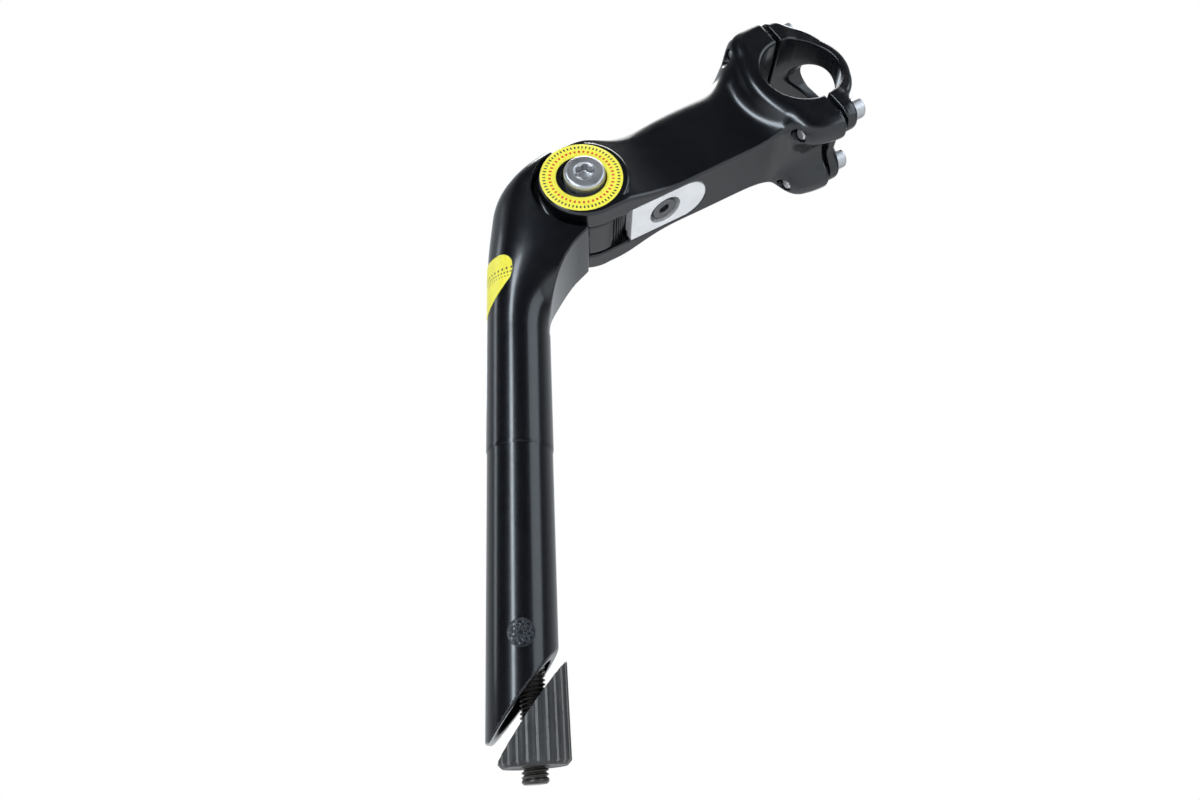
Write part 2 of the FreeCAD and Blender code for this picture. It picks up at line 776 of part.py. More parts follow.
def make_lock():
    """The toothed wedge under the arm, its bolt and washer, all drawn back off the teeth."""
    body = new_body("lock_wedge_plate")
    plan = sketch_on(body, "lock_plan", "XY_Plane", "-Dims.cheek_radius")
    half = "(Dims.lock_width / 2)"
    front = "(Dims.lock_end - Dims.lock_travel * sqrt(0.5))"
    centre = "(Dims.lock_centre - Dims.lock_travel * sqrt(0.5))"
    draw_outline(plan, (
        (front, f"-{half}"),
        (f"{centre} + {half}", f"-{half}"),
        (f"{centre} + {half}", half),
        (front, half),
    ))
    pad(body, plan, "Dims.lock_depth")
    round_edges(
        body,
        lambda edge, middle: middle.x > value("Dims.lock_centre")
        and abs(abs(middle.y) - value(half)) < 0.01 and abs(edge.tangentAt(0).z) > 0.9,
        f"{half} - 0.01", "lock_nose")
    lift = "(Dims.lock_travel * sqrt(0.5))"
    face = rod("lock_face", "Dims.knuckle_radius + 0.1", "40", ("0", "-20", f"-{lift}"), along="Y")
    counter = rod("lock_counterbore", "Dims.lock_counterbore / 2", "Dims.lock_sink",
                  (f"Dims.lock_bolt_ahead - {lift}", "0", "-Dims.cheek_radius"))
    passage = rod("lock_passage", "Dims.lock_thread / 2 + 0.9", "20",
                  (f"Dims.lock_bolt_ahead - {lift} / 2", "0", "-Dims.cheek_radius"))
    plate = carve("lock_blank", body, face, counter, passage)
    ridges = []
    for step in range(3):
        ridge = new_body(f"lock_ridge{step + 1}")
        sketch = sketch_on(ridge, f"lock_ridge_outline{step + 1}", "XZ_Plane")
        centre_angle = (f"((Dims.first_tooth - Dims.arm_angle + {6 + step} * Dims.tooth_pitch)"
                        " * 1 deg)")
        root = "(Dims.knuckle_radius - Dims.tooth_depth + 0.12)"
        foot = "(Dims.knuckle_radius + 0.6)"
        corners = []
        for radius, spread in ((foot, -1.9), (root, -0.6), (root, 0.6), (foot, 1.9)):
            turn = f"({centre_angle} + {spread} deg)"
            corners.append((f"{radius} * cos({turn})", f"{radius} * sin({turn}) - {lift}"))
        draw_outline(sketch, corners)
        pad(ridge, sketch, "Dims.knuckle_width - 0.2", symmetric=True)
        ridges.append(ridge)
    wedge = name_node(join("lock_wedge_form", plate, *ridges), "lock_wedge")
    in_arm(wedge, ahead="Dims.lock_travel * sqrt(0.5)", up="0")

    seat = "(-Dims.cheek_radius + Dims.lock_sink)"
    bolt = make_screw("lock_bolt", "Dims.lock_head_dia", "Dims.lock_head_height",
                      "Dims.lock_thread", "Dims.lock_bolt_length", "Dims.lock_key")
    flip = FreeCAD.Rotation(V(1, 0, 0), 180)
    in_arm(bolt, ahead="Dims.lock_bolt_ahead", up=f"{seat} - Dims.lock_washer_thickness",
           turn=flip)
    washer = new_body("lock_washer")
    ring = sketch_on(washer, "lock_washer_ring", "XY_Plane")
    draw_circle(ring, "Dims.lock_washer_dia / 2")
    draw_circle(ring, "Dims.lock_thread / 2 + Dims.running_gap")
    pad(washer, ring, "Dims.lock_washer_thickness")
    in_arm(washer, ahead="Dims.lock_bolt_ahead", up=f"{seat} - Dims.lock_washer_thickness")
    return [wedge, bolt, washer]


# ---------------------------------------------------------------- faceplate

def make_faceplate():
    """The front half of the bar clamp: a waisted band with an oval window and four ears."""
    split = "(Dims.clamp_ahead + Dims.split_gap / 2)"
    band = rod("band", "Dims.plate_radius", "Dims.clamp_width",
               ("Dims.clamp_ahead", "-Dims.clamp_width / 2", "Dims.clamp_up"), along="Y")
    pieces = [band]
    for place_name, across, up in boss_places():
        pieces.append(rod(f"ear_{place_name}", "Dims.boss_radius", f"Dims.ear_seat - {split}",
                          (split, across, up), along="X"))
    shoulder = "(Dims.boss_apart / 2)"
    pieces.append(block(
        "ear_bridge", (f"Dims.ear_seat - {split}", "Dims.clamp_width", f"2 * {shoulder}"),
        (split, "-Dims.clamp_width / 2", f"Dims.clamp_up - 0.6 - {shoulder}")))
    envelope = block("plate_envelope", ("60", "Dims.clamp_width", "90"),
                     (split, "-Dims.clamp_width / 2", "-45"))
    blank = shared("plate_blank", join("plate_union", *pieces), envelope)
    tools = [rod("plate_bore", "Dims.clamp_bore / 2", "60",
                 ("Dims.clamp_ahead", "-30", "Dims.clamp_up"), along="Y")]
    for side, sign in (("left", "+"), ("right", "-")):
        tools.append(rod(
            f"waist_{side}", "Dims.plate_scoop", "60",
            (f"{split} + 4", f"{sign}(Dims.plate_waist / 2 + Dims.plate_scoop)", "Dims.clamp_up"),
            along="X"))
    oval = doc.addObject("Part::Ellipse", "window_oval")
    bind(oval, MajorRadius="Dims.window_height / 2", MinorRadius="Dims.window_width / 2")
    oval.Placement = FreeCAD.Placement(
        V(value(split), 0, value("Dims.clamp_up")), FreeCAD.Rotation(V(0, 1, 0), 90))
    window = doc.addObject("Part::Extrusion", "window")
    window.Base = oval
    window.Dir = V(1, 0, 0)
    window.LengthFwd = 60
    window.Solid = True
    tools.append(window)
    for place_name, across, up in boss_places():
        tools.append(rod(f"clearance_{place_name}", "Dims.face_thread / 2 + 0.2", "20",
                         ("98", across, up), along="X"))
        tools.append(rod(f"spot_face_{place_name}", "Dims.spot_face_dia / 2", "10",
                         ("Dims.ear_seat", across, up), along="X"))
    for level, up in (("upper", "Dims.clamp_up + 33.5"), ("lower", "Dims.clamp_up - 34.5")):
        tools.append(rod(f"dip_{level}", "8.5", "40", ("88", "0", up), along="X"))
    plate = carve("faceplate_form", blank, *tools)
    return name_node(in_arm(plate), "faceplate")


def make_face_bolts():
    """Four socket screws that close the faceplate on the bar."""
    forward = FreeCAD.Rotation(V(0, 1, 0), 90)
    bolts = []
    for place_name, across, up in boss_places():
        bolt = make_screw(f"face_bolt_{place_name}", "Dims.face_head_dia",
                          "Dims.face_head_height", "Dims.face_thread", "Dims.face_bolt_length",
                          "Dims.face_key")
        bolts.append(in_arm(bolt, "Dims.ear_seat + Dims.seat_gap", across, up, forward))
    return bolts


# ---------------------------------------------------------------- the whole stem

def build_nodes():
    """Makes every sub-part and gives the list of them."""
    nodes = [make_quill_body(), make_quill_label()]
    nodes += make_expander()
    nodes += [make_bush("left", "+1"), make_bush("right", "-1")]
    nodes += make_pivot()
    nodes += [make_arm_body(), make_pivot_label()]
    nodes += make_lock()
    nodes += [make_faceplate()]
    nodes += make_face_bolts()
    return nodes


def export(nodes):
    """Checks the document and each sub-part, then writes one STEP file per sub-part."""
    doc.recompute()
    failed = [obj.Name for obj in doc.Objects if {"Invalid", "Error"} & set(obj.State)]
    if failed:
        raise RuntimeError("failed objects: " + ", ".join(failed))
    os.makedirs("parts", exist_ok=True)
    for node in nodes:
        shape = node.Shape
        if shape.isNull() or not shape.isValid() or not shape.Solids:
            raise RuntimeError(node.Label + " has no valid shape")
        print(f"{node.Label}: {len(shape.Solids)} solid, {shape.Volume:.0f} mm3")
        shape.exportStep(f"parts/{node.Label}.step")


export(build_nodes())
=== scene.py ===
"""Dresses the adjustable quill stem: forged black bodies, threaded screws, ribbed wedge, labels.

Lengths in this file are millimetres until a mesh is stored, and metres from there on.  The stem's
frame has +Z up the quill and +X forward; the arm's own frame has its pivot at the origin, its
first axis along the arm and its third square to it.
"""
import json
import logging
import math
from dataclasses import dataclass
from enum import Enum
from typing import Callable, Sequence

import bmesh
import bpy
import numpy as np
from mathutils import Matrix, Vector

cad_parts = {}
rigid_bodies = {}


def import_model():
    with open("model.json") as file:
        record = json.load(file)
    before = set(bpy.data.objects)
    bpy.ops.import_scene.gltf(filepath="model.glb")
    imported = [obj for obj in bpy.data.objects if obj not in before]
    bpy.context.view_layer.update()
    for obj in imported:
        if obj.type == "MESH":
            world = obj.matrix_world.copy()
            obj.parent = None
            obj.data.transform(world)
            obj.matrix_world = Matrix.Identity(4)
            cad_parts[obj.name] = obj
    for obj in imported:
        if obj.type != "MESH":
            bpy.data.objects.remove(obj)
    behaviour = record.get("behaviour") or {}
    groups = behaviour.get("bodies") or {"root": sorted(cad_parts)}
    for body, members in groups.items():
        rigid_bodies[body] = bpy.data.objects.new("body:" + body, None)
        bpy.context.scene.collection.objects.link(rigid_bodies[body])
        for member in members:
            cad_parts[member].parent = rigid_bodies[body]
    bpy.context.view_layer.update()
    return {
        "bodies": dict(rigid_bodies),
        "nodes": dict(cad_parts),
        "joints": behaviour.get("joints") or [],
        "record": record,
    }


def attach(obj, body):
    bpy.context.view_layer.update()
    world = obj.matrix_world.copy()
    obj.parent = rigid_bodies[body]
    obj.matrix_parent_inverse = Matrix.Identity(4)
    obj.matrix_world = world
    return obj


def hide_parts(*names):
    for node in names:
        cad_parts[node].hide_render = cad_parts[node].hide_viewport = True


LOG = logging.getLogger("stem")
MM = 0.001
TAU = 2.0 * math.pi

Array = np.ndarray
Field = Callable[[Array, Array, Array], Array]


# ------------------------------------------------------------------ placing

@dataclass(frozen=True)
class Placement:
    """Where a piece's own axes lie in the stem's frame: an origin and three unit axes."""

    origin: tuple[float, float, float] = (0.0, 0.0, 0.0)
    x_axis: tuple[float, float, float] = (1.0, 0.0, 0.0)
    y_axis: tuple[float, float, float] = (0.0, 1.0, 0.0)
    z_axis: tuple[float, float, float] = (0.0, 0.0, 1.0)

    def turn(self) -> Array:
        """The 3 by 3 matrix whose rows are the piece's own axes."""
        return np.array([self.x_axis, self.y_axis, self.z_axis])

    def to_stem(self, points: Array) -> Array:
        """Points (..., 3) given in the piece's axes, in the stem's frame."""
        return points @ self.turn() + np.array(self.origin)

    def vectors_to_stem(self, vectors: Array) -> Array:
        """Directions (..., 3) given in the piece's axes, in the stem's frame."""
        return vectors @ self.turn()

    def inside(self, along: float, across: float, up: float, z_axis: Sequence[float],
               x_axis: Sequence[float]) -> "Placement":
        """A placement given within this one.

        Args:
            along, across, up: the origin in this placement's axes.
            z_axis, x_axis: the new axes in this placement's axes.

        Returns:
            The placement in the stem's frame.
        """
        new_z, new_x = np.array(z_axis, float), np.array(x_axis, float)
        new_y = np.cross(new_z, new_x)
        origin = self.to_stem(np.array([along, across, up], float))
        axes = [tuple(self.vectors_to_stem(axis)) for axis in (new_x, new_y, new_z)]
        return Placement(tuple(origin), *axes)


PIVOT = (26.0, 0.0, 102.0)
ARM_ANGLE = math.radians(27.4)
STEM = Placement()
ARM = Placement(
    origin=PIVOT,
    x_axis=(math.cos(ARM_ANGLE), 0.0, math.sin(ARM_ANGLE)),
    y_axis=(0.0, 1.0, 0.0),
    z_axis=(-math.sin(ARM_ANGLE), 0.0, math.cos(ARM_ANGLE)),
)


# ------------------------------------------------------------------ meshes

def store_mesh(name: str, points: Array, faces: Array, normals: Array | None = None,
               corners_uv: Array | None = None) -> bpy.types.Object:
    """Stores a surface as a smooth mesh object at the world's origin.

    Args:
        name: the piece's name.
        points: (n, 3) places in millimetres.
        faces: (m, 4) corner numbers, counterclockwise from outside.
        normals: optional (n, 3) unit normals to shade with.
        corners_uv: optional (m, 4, 2) coordinates of each face corner.

    Returns:
        The new object, linked to the scene.
    """
    mesh = bpy.data.meshes.new(name)
    mesh.from_pydata((points * MM).tolist(), [], faces.tolist())
    if corners_uv is not None:
        layer = mesh.uv_layers.new(name="UVMap")
        layer.data.foreach_set("uv", corners_uv.reshape(-1).astype(np.float32))
    mesh.polygons.foreach_set("use_smooth", np.ones(len(faces), dtype=bool))
    if normals is not None:
        mesh.normals_split_custom_set_from_vertices(normals.tolist())
    piece = bpy.data.objects.new(name, mesh)
    bpy.context.scene.collection.objects.link(piece)
    return piece


def merge_poles(piece: bpy.types.Object) -> None:
    """Merges coincident vertices, drops the faces that collapse, and turns all faces outwards."""
    sheet = bmesh.new()
    sheet.from_mesh(piece.data)
    bmesh.ops.remove_doubles(sheet, verts=sheet.verts, dist=2e-6)
    bmesh.ops.dissolve_degenerate(sheet, edges=sheet.edges, dist=1e-7)
    bmesh.ops.recalc_face_normals(sheet, faces=sheet.faces)
    sheet.to_mesh(piece.data)
    sheet.free()


def grid_piece(name: str, grid: Array, place: Placement, around: bool = True,
               closed: bool = False) -> bpy.types.Object:
    """A piece from a grid of points, joined row to row and column to column.

    Args:
        name: the piece's name.
        grid: (rows, columns, 3) places in the piece's own axes.
        place: where those axes lie.
        around: whether the last column meets the first.
        closed: whether the last row meets the first.

    Returns:
        The object, with UV running 0 to 1 along columns (U) and rows (V).
    """
    rows, columns = grid.shape[:2]
    row_steps = rows if closed else rows - 1
    column_steps = columns if around else columns - 1
    row, column = np.meshgrid(np.arange(row_steps), np.arange(column_steps), indexing="ij")
    next_row, next_column = (row + 1) % rows, (column + 1) % columns
    faces = np.stack([row * columns + column, row * columns + next_column,
                      next_row * columns + next_column, next_row * columns + column], axis=-1)
    u = np.stack([column, column + 1, column + 1, column], axis=-1) / column_steps
    v = np.stack([row, row, row + 1, row + 1], axis=-1) / row_steps
    uv = np.stack([u, v], axis=-1).reshape(-1, 4, 2)
    points = place.to_stem(grid.reshape(-1, 3))
    piece = store_mesh(name, points, faces.reshape(-1, 4), corners_uv=uv)
    merge_poles(piece)
    return piece


def rounded_profile(corners: Sequence[tuple[float, float, float]], steps: int = 5) -> Array:
    """A profile with each corner replaced by an arc.

    The arc touches both sides, at the distance radius * tan(half the turn) from the corner, and a
    support point just outside each end keeps the flats flat when they are shaded.

    Args:
        corners: radius from the axis, height, and the round at each corner.
        steps: points along each arc.

    Returns:
        (n, 2) radii and heights.
    """
    places = np.array([corner[:2] for corner in corners], float)
    out = [places[0]]
    for number in range(1, len(places) - 1):
        here, radius = places[number], corners[number][2]
        back, ahead = places[number - 1] - here, places[number + 1] - here
        back_length, ahead_length = np.hypot(*back), np.hypot(*ahead)
        back, ahead = back / back_length, ahead / ahead_length
        opening = math.acos(float(np.clip(back @ ahead, -1.0, 1.0)))
        if radius <= 0.0 or opening > 3.1:
            out.append(here)
            continue
        reach = min(radius / math.tan(opening / 2), 0.45 * back_length, 0.45 * ahead_length)
        start, end = here + back * reach, here + ahead * reach
        share = np.linspace(0.0, 1.0, steps)[:, None]
        arc = (1 - share) ** 2 * start + 2 * share * (1 - share) * here + share ** 2 * end
        support = 0.06 * reach + 0.02
        out.append(start + back * support)
        out.extend(arc)
        out.append(end + ahead * support)
    out.append(places[-1])
    return np.array(out)


# ------------------------------------------------------------------ solid fields

def meet(first: Array, second: Array, radius: float | Array) -> Array:
    """What two solids share, with a round of the given radius on the edge between them."""
    over = np.hypot(np.maximum(first + radius, 0.0), np.maximum(second + radius, 0.0))
    return np.minimum(-radius, np.maximum(first, second)) + over


def blend(first: Array, second: Array, radius: float) -> Array:
    """Both solids together, with a fillet of the given radius in the corner between them."""
    over = np.hypot(np.maximum(radius - first, 0.0), np.maximum(radius - second, 0.0))
    return np.maximum(radius, np.minimum(first, second)) - over


def cut(body: Array, tool: Array, radius: float) -> Array:
    """The body with the tool taken out and the rim of the cut rounded."""
    return meet(body, -tool, radius)


def ease(share: Array) -> Array:
    """A share from 0 to 1, started and stopped gently: share squared * (3 - 2 share)."""
    return share * share * (3.0 - 2.0 * share)


def plane(x: Array, z: Array, through: tuple[float, float], normal: tuple[float, float]) -> Array:
    """The field of a half-space square to the XZ plane: what lies behind a point and normal."""
    return (x - through[0]) * normal[0] + (z - through[1]) * normal[1]


def smooth_table(at: Array, knots: Sequence[float], values: Sequence[float]) -> Array:
    """A natural cubic spline through a table, held level outside it.

    Args:
        at: where to read the spline.
        knots, values: the table.

    Returns:
        The spline's value at each place.
    """
    knot, value = np.array(knots, float), np.array(values, float)
    gap, count = np.diff(knot), len(knot)
    system, right = np.eye(count), np.zeros(count)
    inner = np.arange(1, count - 1)
    system[inner, inner - 1] = gap[:-1]
    system[inner, inner] = 2 * (gap[:-1] + gap[1:])
    system[inner, inner + 1] = gap[1:]
    rise = np.diff(value) / gap
    right[1:-1] = 6 * np.diff(rise)
    bend = np.linalg.solve(system, right)
    at = np.clip(at, knot[0], knot[-1])
    span = np.clip(np.searchsorted(knot, at, side="right") - 1, 0, count - 2)
    low, high = at - knot[span], knot[span + 1] - at
    width = gap[span]
    cubic = (bend[span] * high ** 3 + bend[span + 1] * low ** 3) / (6 * width)
    line_low = (value[span] / width - bend[span] * width / 6) * high
    line_high = (value[span + 1] / width - bend[span + 1] * width / 6) * low
    return cubic + line_low + line_high


def field_slope(field: Field, points: Array, reach: float) -> Array:
    """The field's gradient at (n, 3) points, by central differences over the given reach."""
    slope = np.empty_like(points)
    for axis in range(3):
        step = np.zeros(3)
        step[axis] = reach
        ahead, behind = points + step, points - step
        slope[:, axis] = (field(*ahead.T) - field(*behind.T)) / (2 * reach)
    return slope


CUBE_EDGES = (
    ((0, 0, 0), (1, 0, 0)), ((0, 1, 0), (1, 1, 0)), ((0, 0, 1), (1, 0, 1)), ((0, 1, 1), (1, 1, 1)),
    ((0, 0, 0), (0, 1, 0)), ((1, 0, 0), (1, 1, 0)), ((0, 0, 1), (0, 1, 1)), ((1, 0, 1), (1, 1, 1)),
    ((0, 0, 0), (0, 0, 1)), ((1, 0, 0), (1, 0, 1)), ((0, 1, 0), (0, 1, 1)), ((1, 1, 0), (1, 1, 1)),
)


def crossed_cells(inside: Array) -> tuple[Array, Array]:
    """The cells that the surface crosses.

    Args:
        inside: whether each grid point lies inside the solid.

    Returns:
        The (n, 3) crossed cells, and a grid of every cell's number among them, or -1.
    """
    shape = inside.shape
    count = np.zeros(tuple(n - 1 for n in shape), np.int8)
    for i, j, k in np.ndindex(2, 2, 2):
        count += inside[i:shape[0] - 1 + i, j:shape[1] - 1 + j, k:shape[2] - 1 + k]
    cells = np.argwhere((count > 0) & (count < 8))
    number = np.full(count.shape, -1, np.int64)
    number[tuple(cells.T)] = np.arange(len(cells))
    return cells, number


def cell_points(level: Array, cells: Array) -> Array:
    """One point for each cell, in cell sizes: the mean of the crossings on its edges."""
    total, hits = np.zeros((len(cells), 3)), np.zeros((len(cells), 1))
    for start, end in CUBE_EDGES:
        first = level[tuple((cells + start).T)]
        second = level[tuple((cells + end).T)]
        crossed = (first < 0) != (second < 0)
        share = np.where(crossed, first / np.where(crossed, first - second, 1.0), 0.0)
        spot = cells + np.array(start) + share[:, None] * (np.array(end) - np.array(start))
        total += np.where(crossed[:, None], spot, 0.0)
        hits += crossed[:, None]
    return total / hits


def cell_faces(inside: Array, number: Array) -> Array:
    """A face for each grid edge that the surface crosses, between the edge's four cells.

    Args:
        inside: whether each grid point lies inside the solid.
        number: the cells' numbers.

    Returns:
        (m, 4) cell numbers, counterclockwise from outside.
    """
    shape = inside.shape
    faces = []
    for axis in range(3):
        second, third = (axis + 1) % 3, (axis + 2) % 3
        near = inside.take(np.arange(shape[axis] - 1), axis)
        far = inside.take(np.arange(1, shape[axis]), axis)
        spots = np.argwhere(near != far)
        keep = (spots[:, second] > 0) & (spots[:, third] > 0)
        keep &= (spots[:, second] < shape[second] - 1) & (spots[:, third] < shape[third] - 1)
        spots = spots[keep]
        ring = []
        for back_second, back_third in ((1, 1), (0, 1), (0, 0), (1, 0)):
            cell = spots.copy()
            cell[:, second] -= back_second
            cell[:, third] -= back_third
            ring.append(number[tuple(cell.T)])
        quad = np.stack(ring, axis=-1)
        faces.append(np.where(near[tuple(spots.T)][:, None], quad, quad[:, ::-1]))
    return np.concatenate(faces)


def settle(field: Field, points: Array, step: float) -> Array:
    """Moves points onto the surface, six times by value * slope / |slope| squared."""
    for _ in range(6):
        slope = field_slope(field, points, 0.02)
        value = field(*points.T)[:, None]
        move = value * slope / (np.sum(slope ** 2, axis=1, keepdims=True) + 1e-6)
        points = points - np.clip(move, -0.4 * step, 0.4 * step)
    return points


def field_piece(name: str, field: Field, place: Placement, low: Sequence[float],
                high: Sequence[float], step: float) -> bpy.types.Object:
    """The surface where a solid's field is zero: a forging too blended for a single grid.

    Args:
        name: the piece's name.
        field: signed distance, negative inside, of three broadcastable coordinate arrays.
        place: where the field's axes lie.
        low, high: the corners of the box that holds the solid.
        step: the cell size.

    Returns:
        The object, shaded with the field's own normals.
    """
    axes = [np.arange(a - 2 * step, b + 2.5 * step, step) for a, b in zip(low, high)]
    open_grid = np.meshgrid(*axes, indexing="ij", sparse=True)
    level = np.broadcast_to(field(*open_grid), tuple(len(axis) for axis in axes))
    inside = level < 0
    cells, number = crossed_cells(inside)
    corner = np.array([axis[0] for axis in axes])
    points = settle(field, cell_points(level, cells) * step + corner, step)
    normals = field_slope(field, points, 0.12 * step)
    normals /= np.linalg.norm(normals, axis=1, keepdims=True) + 1e-12
    return store_mesh(name, place.to_stem(points), cell_faces(inside, number),
                      normals=place.vectors_to_stem(normals))


# ------------------------------------------------------------------ finishes

class Grain(Enum):
    """A finish's fine relief, as the detail and roughness of its noise."""

    SPECKLED = (2.5, 0.5)
    TURNED = (2.0, 0.5)
    CAST = (6.0, 0.7)


RELIEF_HEIGHT = 0.00008


class Sheet:
    """A material's nodes, with short ways to add and join them."""

    def __init__(self, name: str) -> None:
        """Starts an empty material with a shader and an output."""
        self.material = bpy.data.materials.new(name)
        self.material.use_nodes = True
        self.tree = self.material.node_tree
        self.tree.nodes.clear()
        self.output = self.tree.nodes.new("ShaderNodeOutputMaterial")
        self.shader = self.tree.nodes.new("ShaderNodeBsdfPrincipled")
        self.join(self.shader, "BSDF", self.output, "Surface")

    def add(self, kind: str, **settings: object) -> bpy.types.Node:
        """A new node with the given attributes."""
        node = self.tree.nodes.new(kind)
        for key, setting in settings.items():
            setattr(node, key, setting)
        return node

    def join(self, source: bpy.types.Node, out: str | int, target: bpy.types.Node,
             into: str | int) -> None:
        """Joins one node's output to another's input."""
        self.tree.links.new(source.outputs[out], target.inputs[into])

    def noise(self, scale: float, detail: float = 3.0, roughness: float = 0.55) -> bpy.types.Node:
        """Noise on Object coordinates."""
        texture = self.add("ShaderNodeTexNoise")
        texture.inputs["Scale"].default_value = scale
        texture.inputs["Detail"].default_value = detail
        texture.inputs["Roughness"].default_value = roughness
        self.join(self.add("ShaderNodeTexCoord"), "Object", texture, "Vector")
        return texture

    def spread(self, source: bpy.types.Node, out: str | int, low: float, high: float,
               from_low: float = 0.3, from_high: float = 0.7) -> bpy.types.Node:
        """Maps an output from one range to another."""
        node = self.add("ShaderNodeMapRange")
        for socket, number in (("From Min", from_low), ("From Max", from_high),
                               ("To Min", low), ("To Max", high)):
            node.inputs[socket].default_value = number
        self.join(source, out, node, "Value")
        return node

    def tint(self, factor: bpy.types.Node, out: str | int, low: Sequence[float],
             high: Sequence[float]) -> bpy.types.Node:
        """Mixes two colours by a factor."""
        node = self.add("ShaderNodeMix", data_type="RGBA")
        node.inputs[6].default_value = (*low, 1.0)
        node.inputs[7].default_value = (*high, 1.0)
        self.join(factor, out, node, 0)
        return node

    def relief(self, source: bpy.types.Node, out: str | int, strength: float,
               distance: float) -> None:
        """Turns a height into a bump on the shader."""
        node = self.add("ShaderNodeBump")
        node.inputs["Strength"].default_value = strength
        node.inputs["Distance"].default_value = distance
        self.join(source, out, node, "Height")
        self.join(node, "Normal", self.shader, "Normal")


@dataclass(frozen=True)
class Finish:
    """One surface finish: its colours, gloss and fine relief."""

    name: str
    colour: tuple[float, float, float]
    second: tuple[float, float, float]
    metallic: float
    rough_low: float
    rough_high: float
    grain: Grain
    grain_scale: float
    relief: float
    coat: float = 0.0
    coat_rough: float = 0.1
    specular: float = 0.5
    # The colour of a painted highlight on edges, or None for no highlight.
    highlight_colour: tuple[float, float, float] | None = None

    def make(self) -> bpy.types.Material:
        """Builds the material: mottled colour, uneven gloss and a bump of the finish's grain."""
        sheet = Sheet(self.name)
        shader = sheet.shader
        shader.inputs["Metallic"].default_value = self.metallic
        shader.inputs["Coat Weight"].default_value = self.coat
        shader.inputs["Coat Roughness"].default_value = self.coat_rough
        shader.inputs["Specular IOR Level"].default_value = self.specular
        mottle = sheet.noise(90.0, 4.0)
        shade = sheet.tint(sheet.spread(mottle, "Fac", 0.0, 1.0), 0, self.colour, self.second)
        gloss = sheet.spread(sheet.noise(260.0, 5.0, 0.6), "Fac", self.rough_low, self.rough_high)
        # Lightens the marked edges: a painted highlight.
        if self.highlight_colour is not None:
            shade = self.painted_highlight(sheet, shade)
        sheet.join(shade, 2, shader, "Base Color")
        sheet.join(gloss, 0, shader, "Roughness")
        sheet.relief(sheet.noise(self.grain_scale, *self.grain.value), "Fac", self.relief,
                     RELIEF_HEIGHT)
        return sheet.material

    def painted_highlight(self, sheet: Sheet, shade: bpy.types.Node) -> bpy.types.Node:
        """Paints a highlight: lightens the colour where the surface's per-vertex highlight attribute
        is high, broken up by noise.
        """
        highlight_share = sheet.add("ShaderNodeAttribute", attribute_name="painted_highlight")
        broken = sheet.spread(sheet.noise(900.0, 4.0, 0.7), "Fac", -0.35, 0.35)
        amount = sheet.add("ShaderNodeMath", operation="ADD", use_clamp=True)
        sheet.join(highlight_share, "Fac", amount, 0)
        sheet.join(broken, 0, amount, 1)
        edge = sheet.spread(amount, 0, 0.0, 1.0, 0.45, 0.85)
        colour = sheet.add("ShaderNodeMix", data_type="RGBA")
        sheet.join(edge, 0, colour, 0)
        sheet.join(shade, 2, colour, 6)
        colour.inputs[7].default_value = (*self.highlight_colour, 1.0)
        return colour


BLACK_COAT = Finish("black_coat", (0.0020, 0.0023, 0.0036), (0.0031, 0.0036, 0.0054), 0.0, 0.22,
                    0.27, Grain.SPECKLED, 1200.0, 0.018, coat=0.25, coat_rough=0.09, specular=0.42)
ZINC = Finish("bright_zinc", (0.50, 0.50, 0.51), (0.43, 0.435, 0.45), 0.9, 0.3, 0.42,
              Grain.TURNED, 2200.0, 0.03)
BLACK_OXIDE = Finish("black_oxide", (0.055, 0.050, 0.046), (0.10, 0.092, 0.082), 0.8, 0.3, 0.45,
                     Grain.SPECKLED, 1800.0, 0.1)
DARK_STEEL = Finish("dark_steel", (0.10, 0.10, 0.105), (0.17, 0.17, 0.175), 0.9, 0.3, 0.42,
                    Grain.TURNED, 1800.0, 0.05)
# The wedge's lighter crests and rims are a painted highlight.
CAST_IRON = Finish("cast_wedge", (0.022, 0.022, 0.024), (0.05, 0.049, 0.047), 0.35, 0.42, 0.6,
                   Grain.CAST, 800.0, 0.5, highlight_colour=(0.16, 0.155, 0.15))
BLASTED = Finish("blasted_alloy", (0.80, 0.80, 0.80), (0.70, 0.70, 0.705), 0.45, 0.42, 0.55,
                 Grain.SPECKLED, 2600.0, 0.2)
BUSH = Finish("bush_plastic", (0.02, 0.02, 0.021), (0.03, 0.03, 0.03), 0.0, 0.45, 0.6,
              Grain.SPECKLED, 900.0, 0.15)


@dataclass(frozen=True)
class TickRow:
    """A printed row of plain ticks that runs along a film's U.

    The row lies between two values of V, has so many ticks per film length, shifted by a phase,
    and each tick fills its share of the room it has.
    """

    low: float
    high: float
    ticks: float
    phase: float
    share: float
    ink: tuple[float, float, float]

    def mask(self, sheet: Sheet) -> bpy.types.Node:
        """A node whose first output is 1 on the ticks and 0 elsewhere."""
        split = sheet.add("ShaderNodeSeparateXYZ")
        sheet.join(sheet.add("ShaderNodeTexCoord"), "UV", split, 0)
        count = sheet.add("ShaderNodeMath", operation="MULTIPLY_ADD")
        sheet.join(split, "X", count, 0)
        count.inputs[1].default_value, count.inputs[2].default_value = self.ticks, self.phase
        part = sheet.add("ShaderNodeMath", operation="FRACT")
        sheet.join(count, 0, part, 0)
        tick = sheet.add("ShaderNodeMath", operation="LESS_THAN")
        sheet.join(part, 0, tick, 0)
        tick.inputs[1].default_value = self.share
        above = sheet.add("ShaderNodeMath", operation="GREATER_THAN")
        below = sheet.add("ShaderNodeMath", operation="LESS_THAN")
        for gate, edge in ((above, self.low), (below, self.high)):
            sheet.join(split, "Y", gate, 0)
            gate.inputs[1].default_value = edge
        both = sheet.add("ShaderNodeMath", operation="MULTIPLY")
        sheet.join(above, 0, both, 0)
        sheet.join(below, 0, both, 1)
        marked = sheet.add("ShaderNodeMath", operation="MULTIPLY")
        sheet.join(both, 0, marked, 0)
        sheet.join(tick, 0, marked, 1)
        return marked


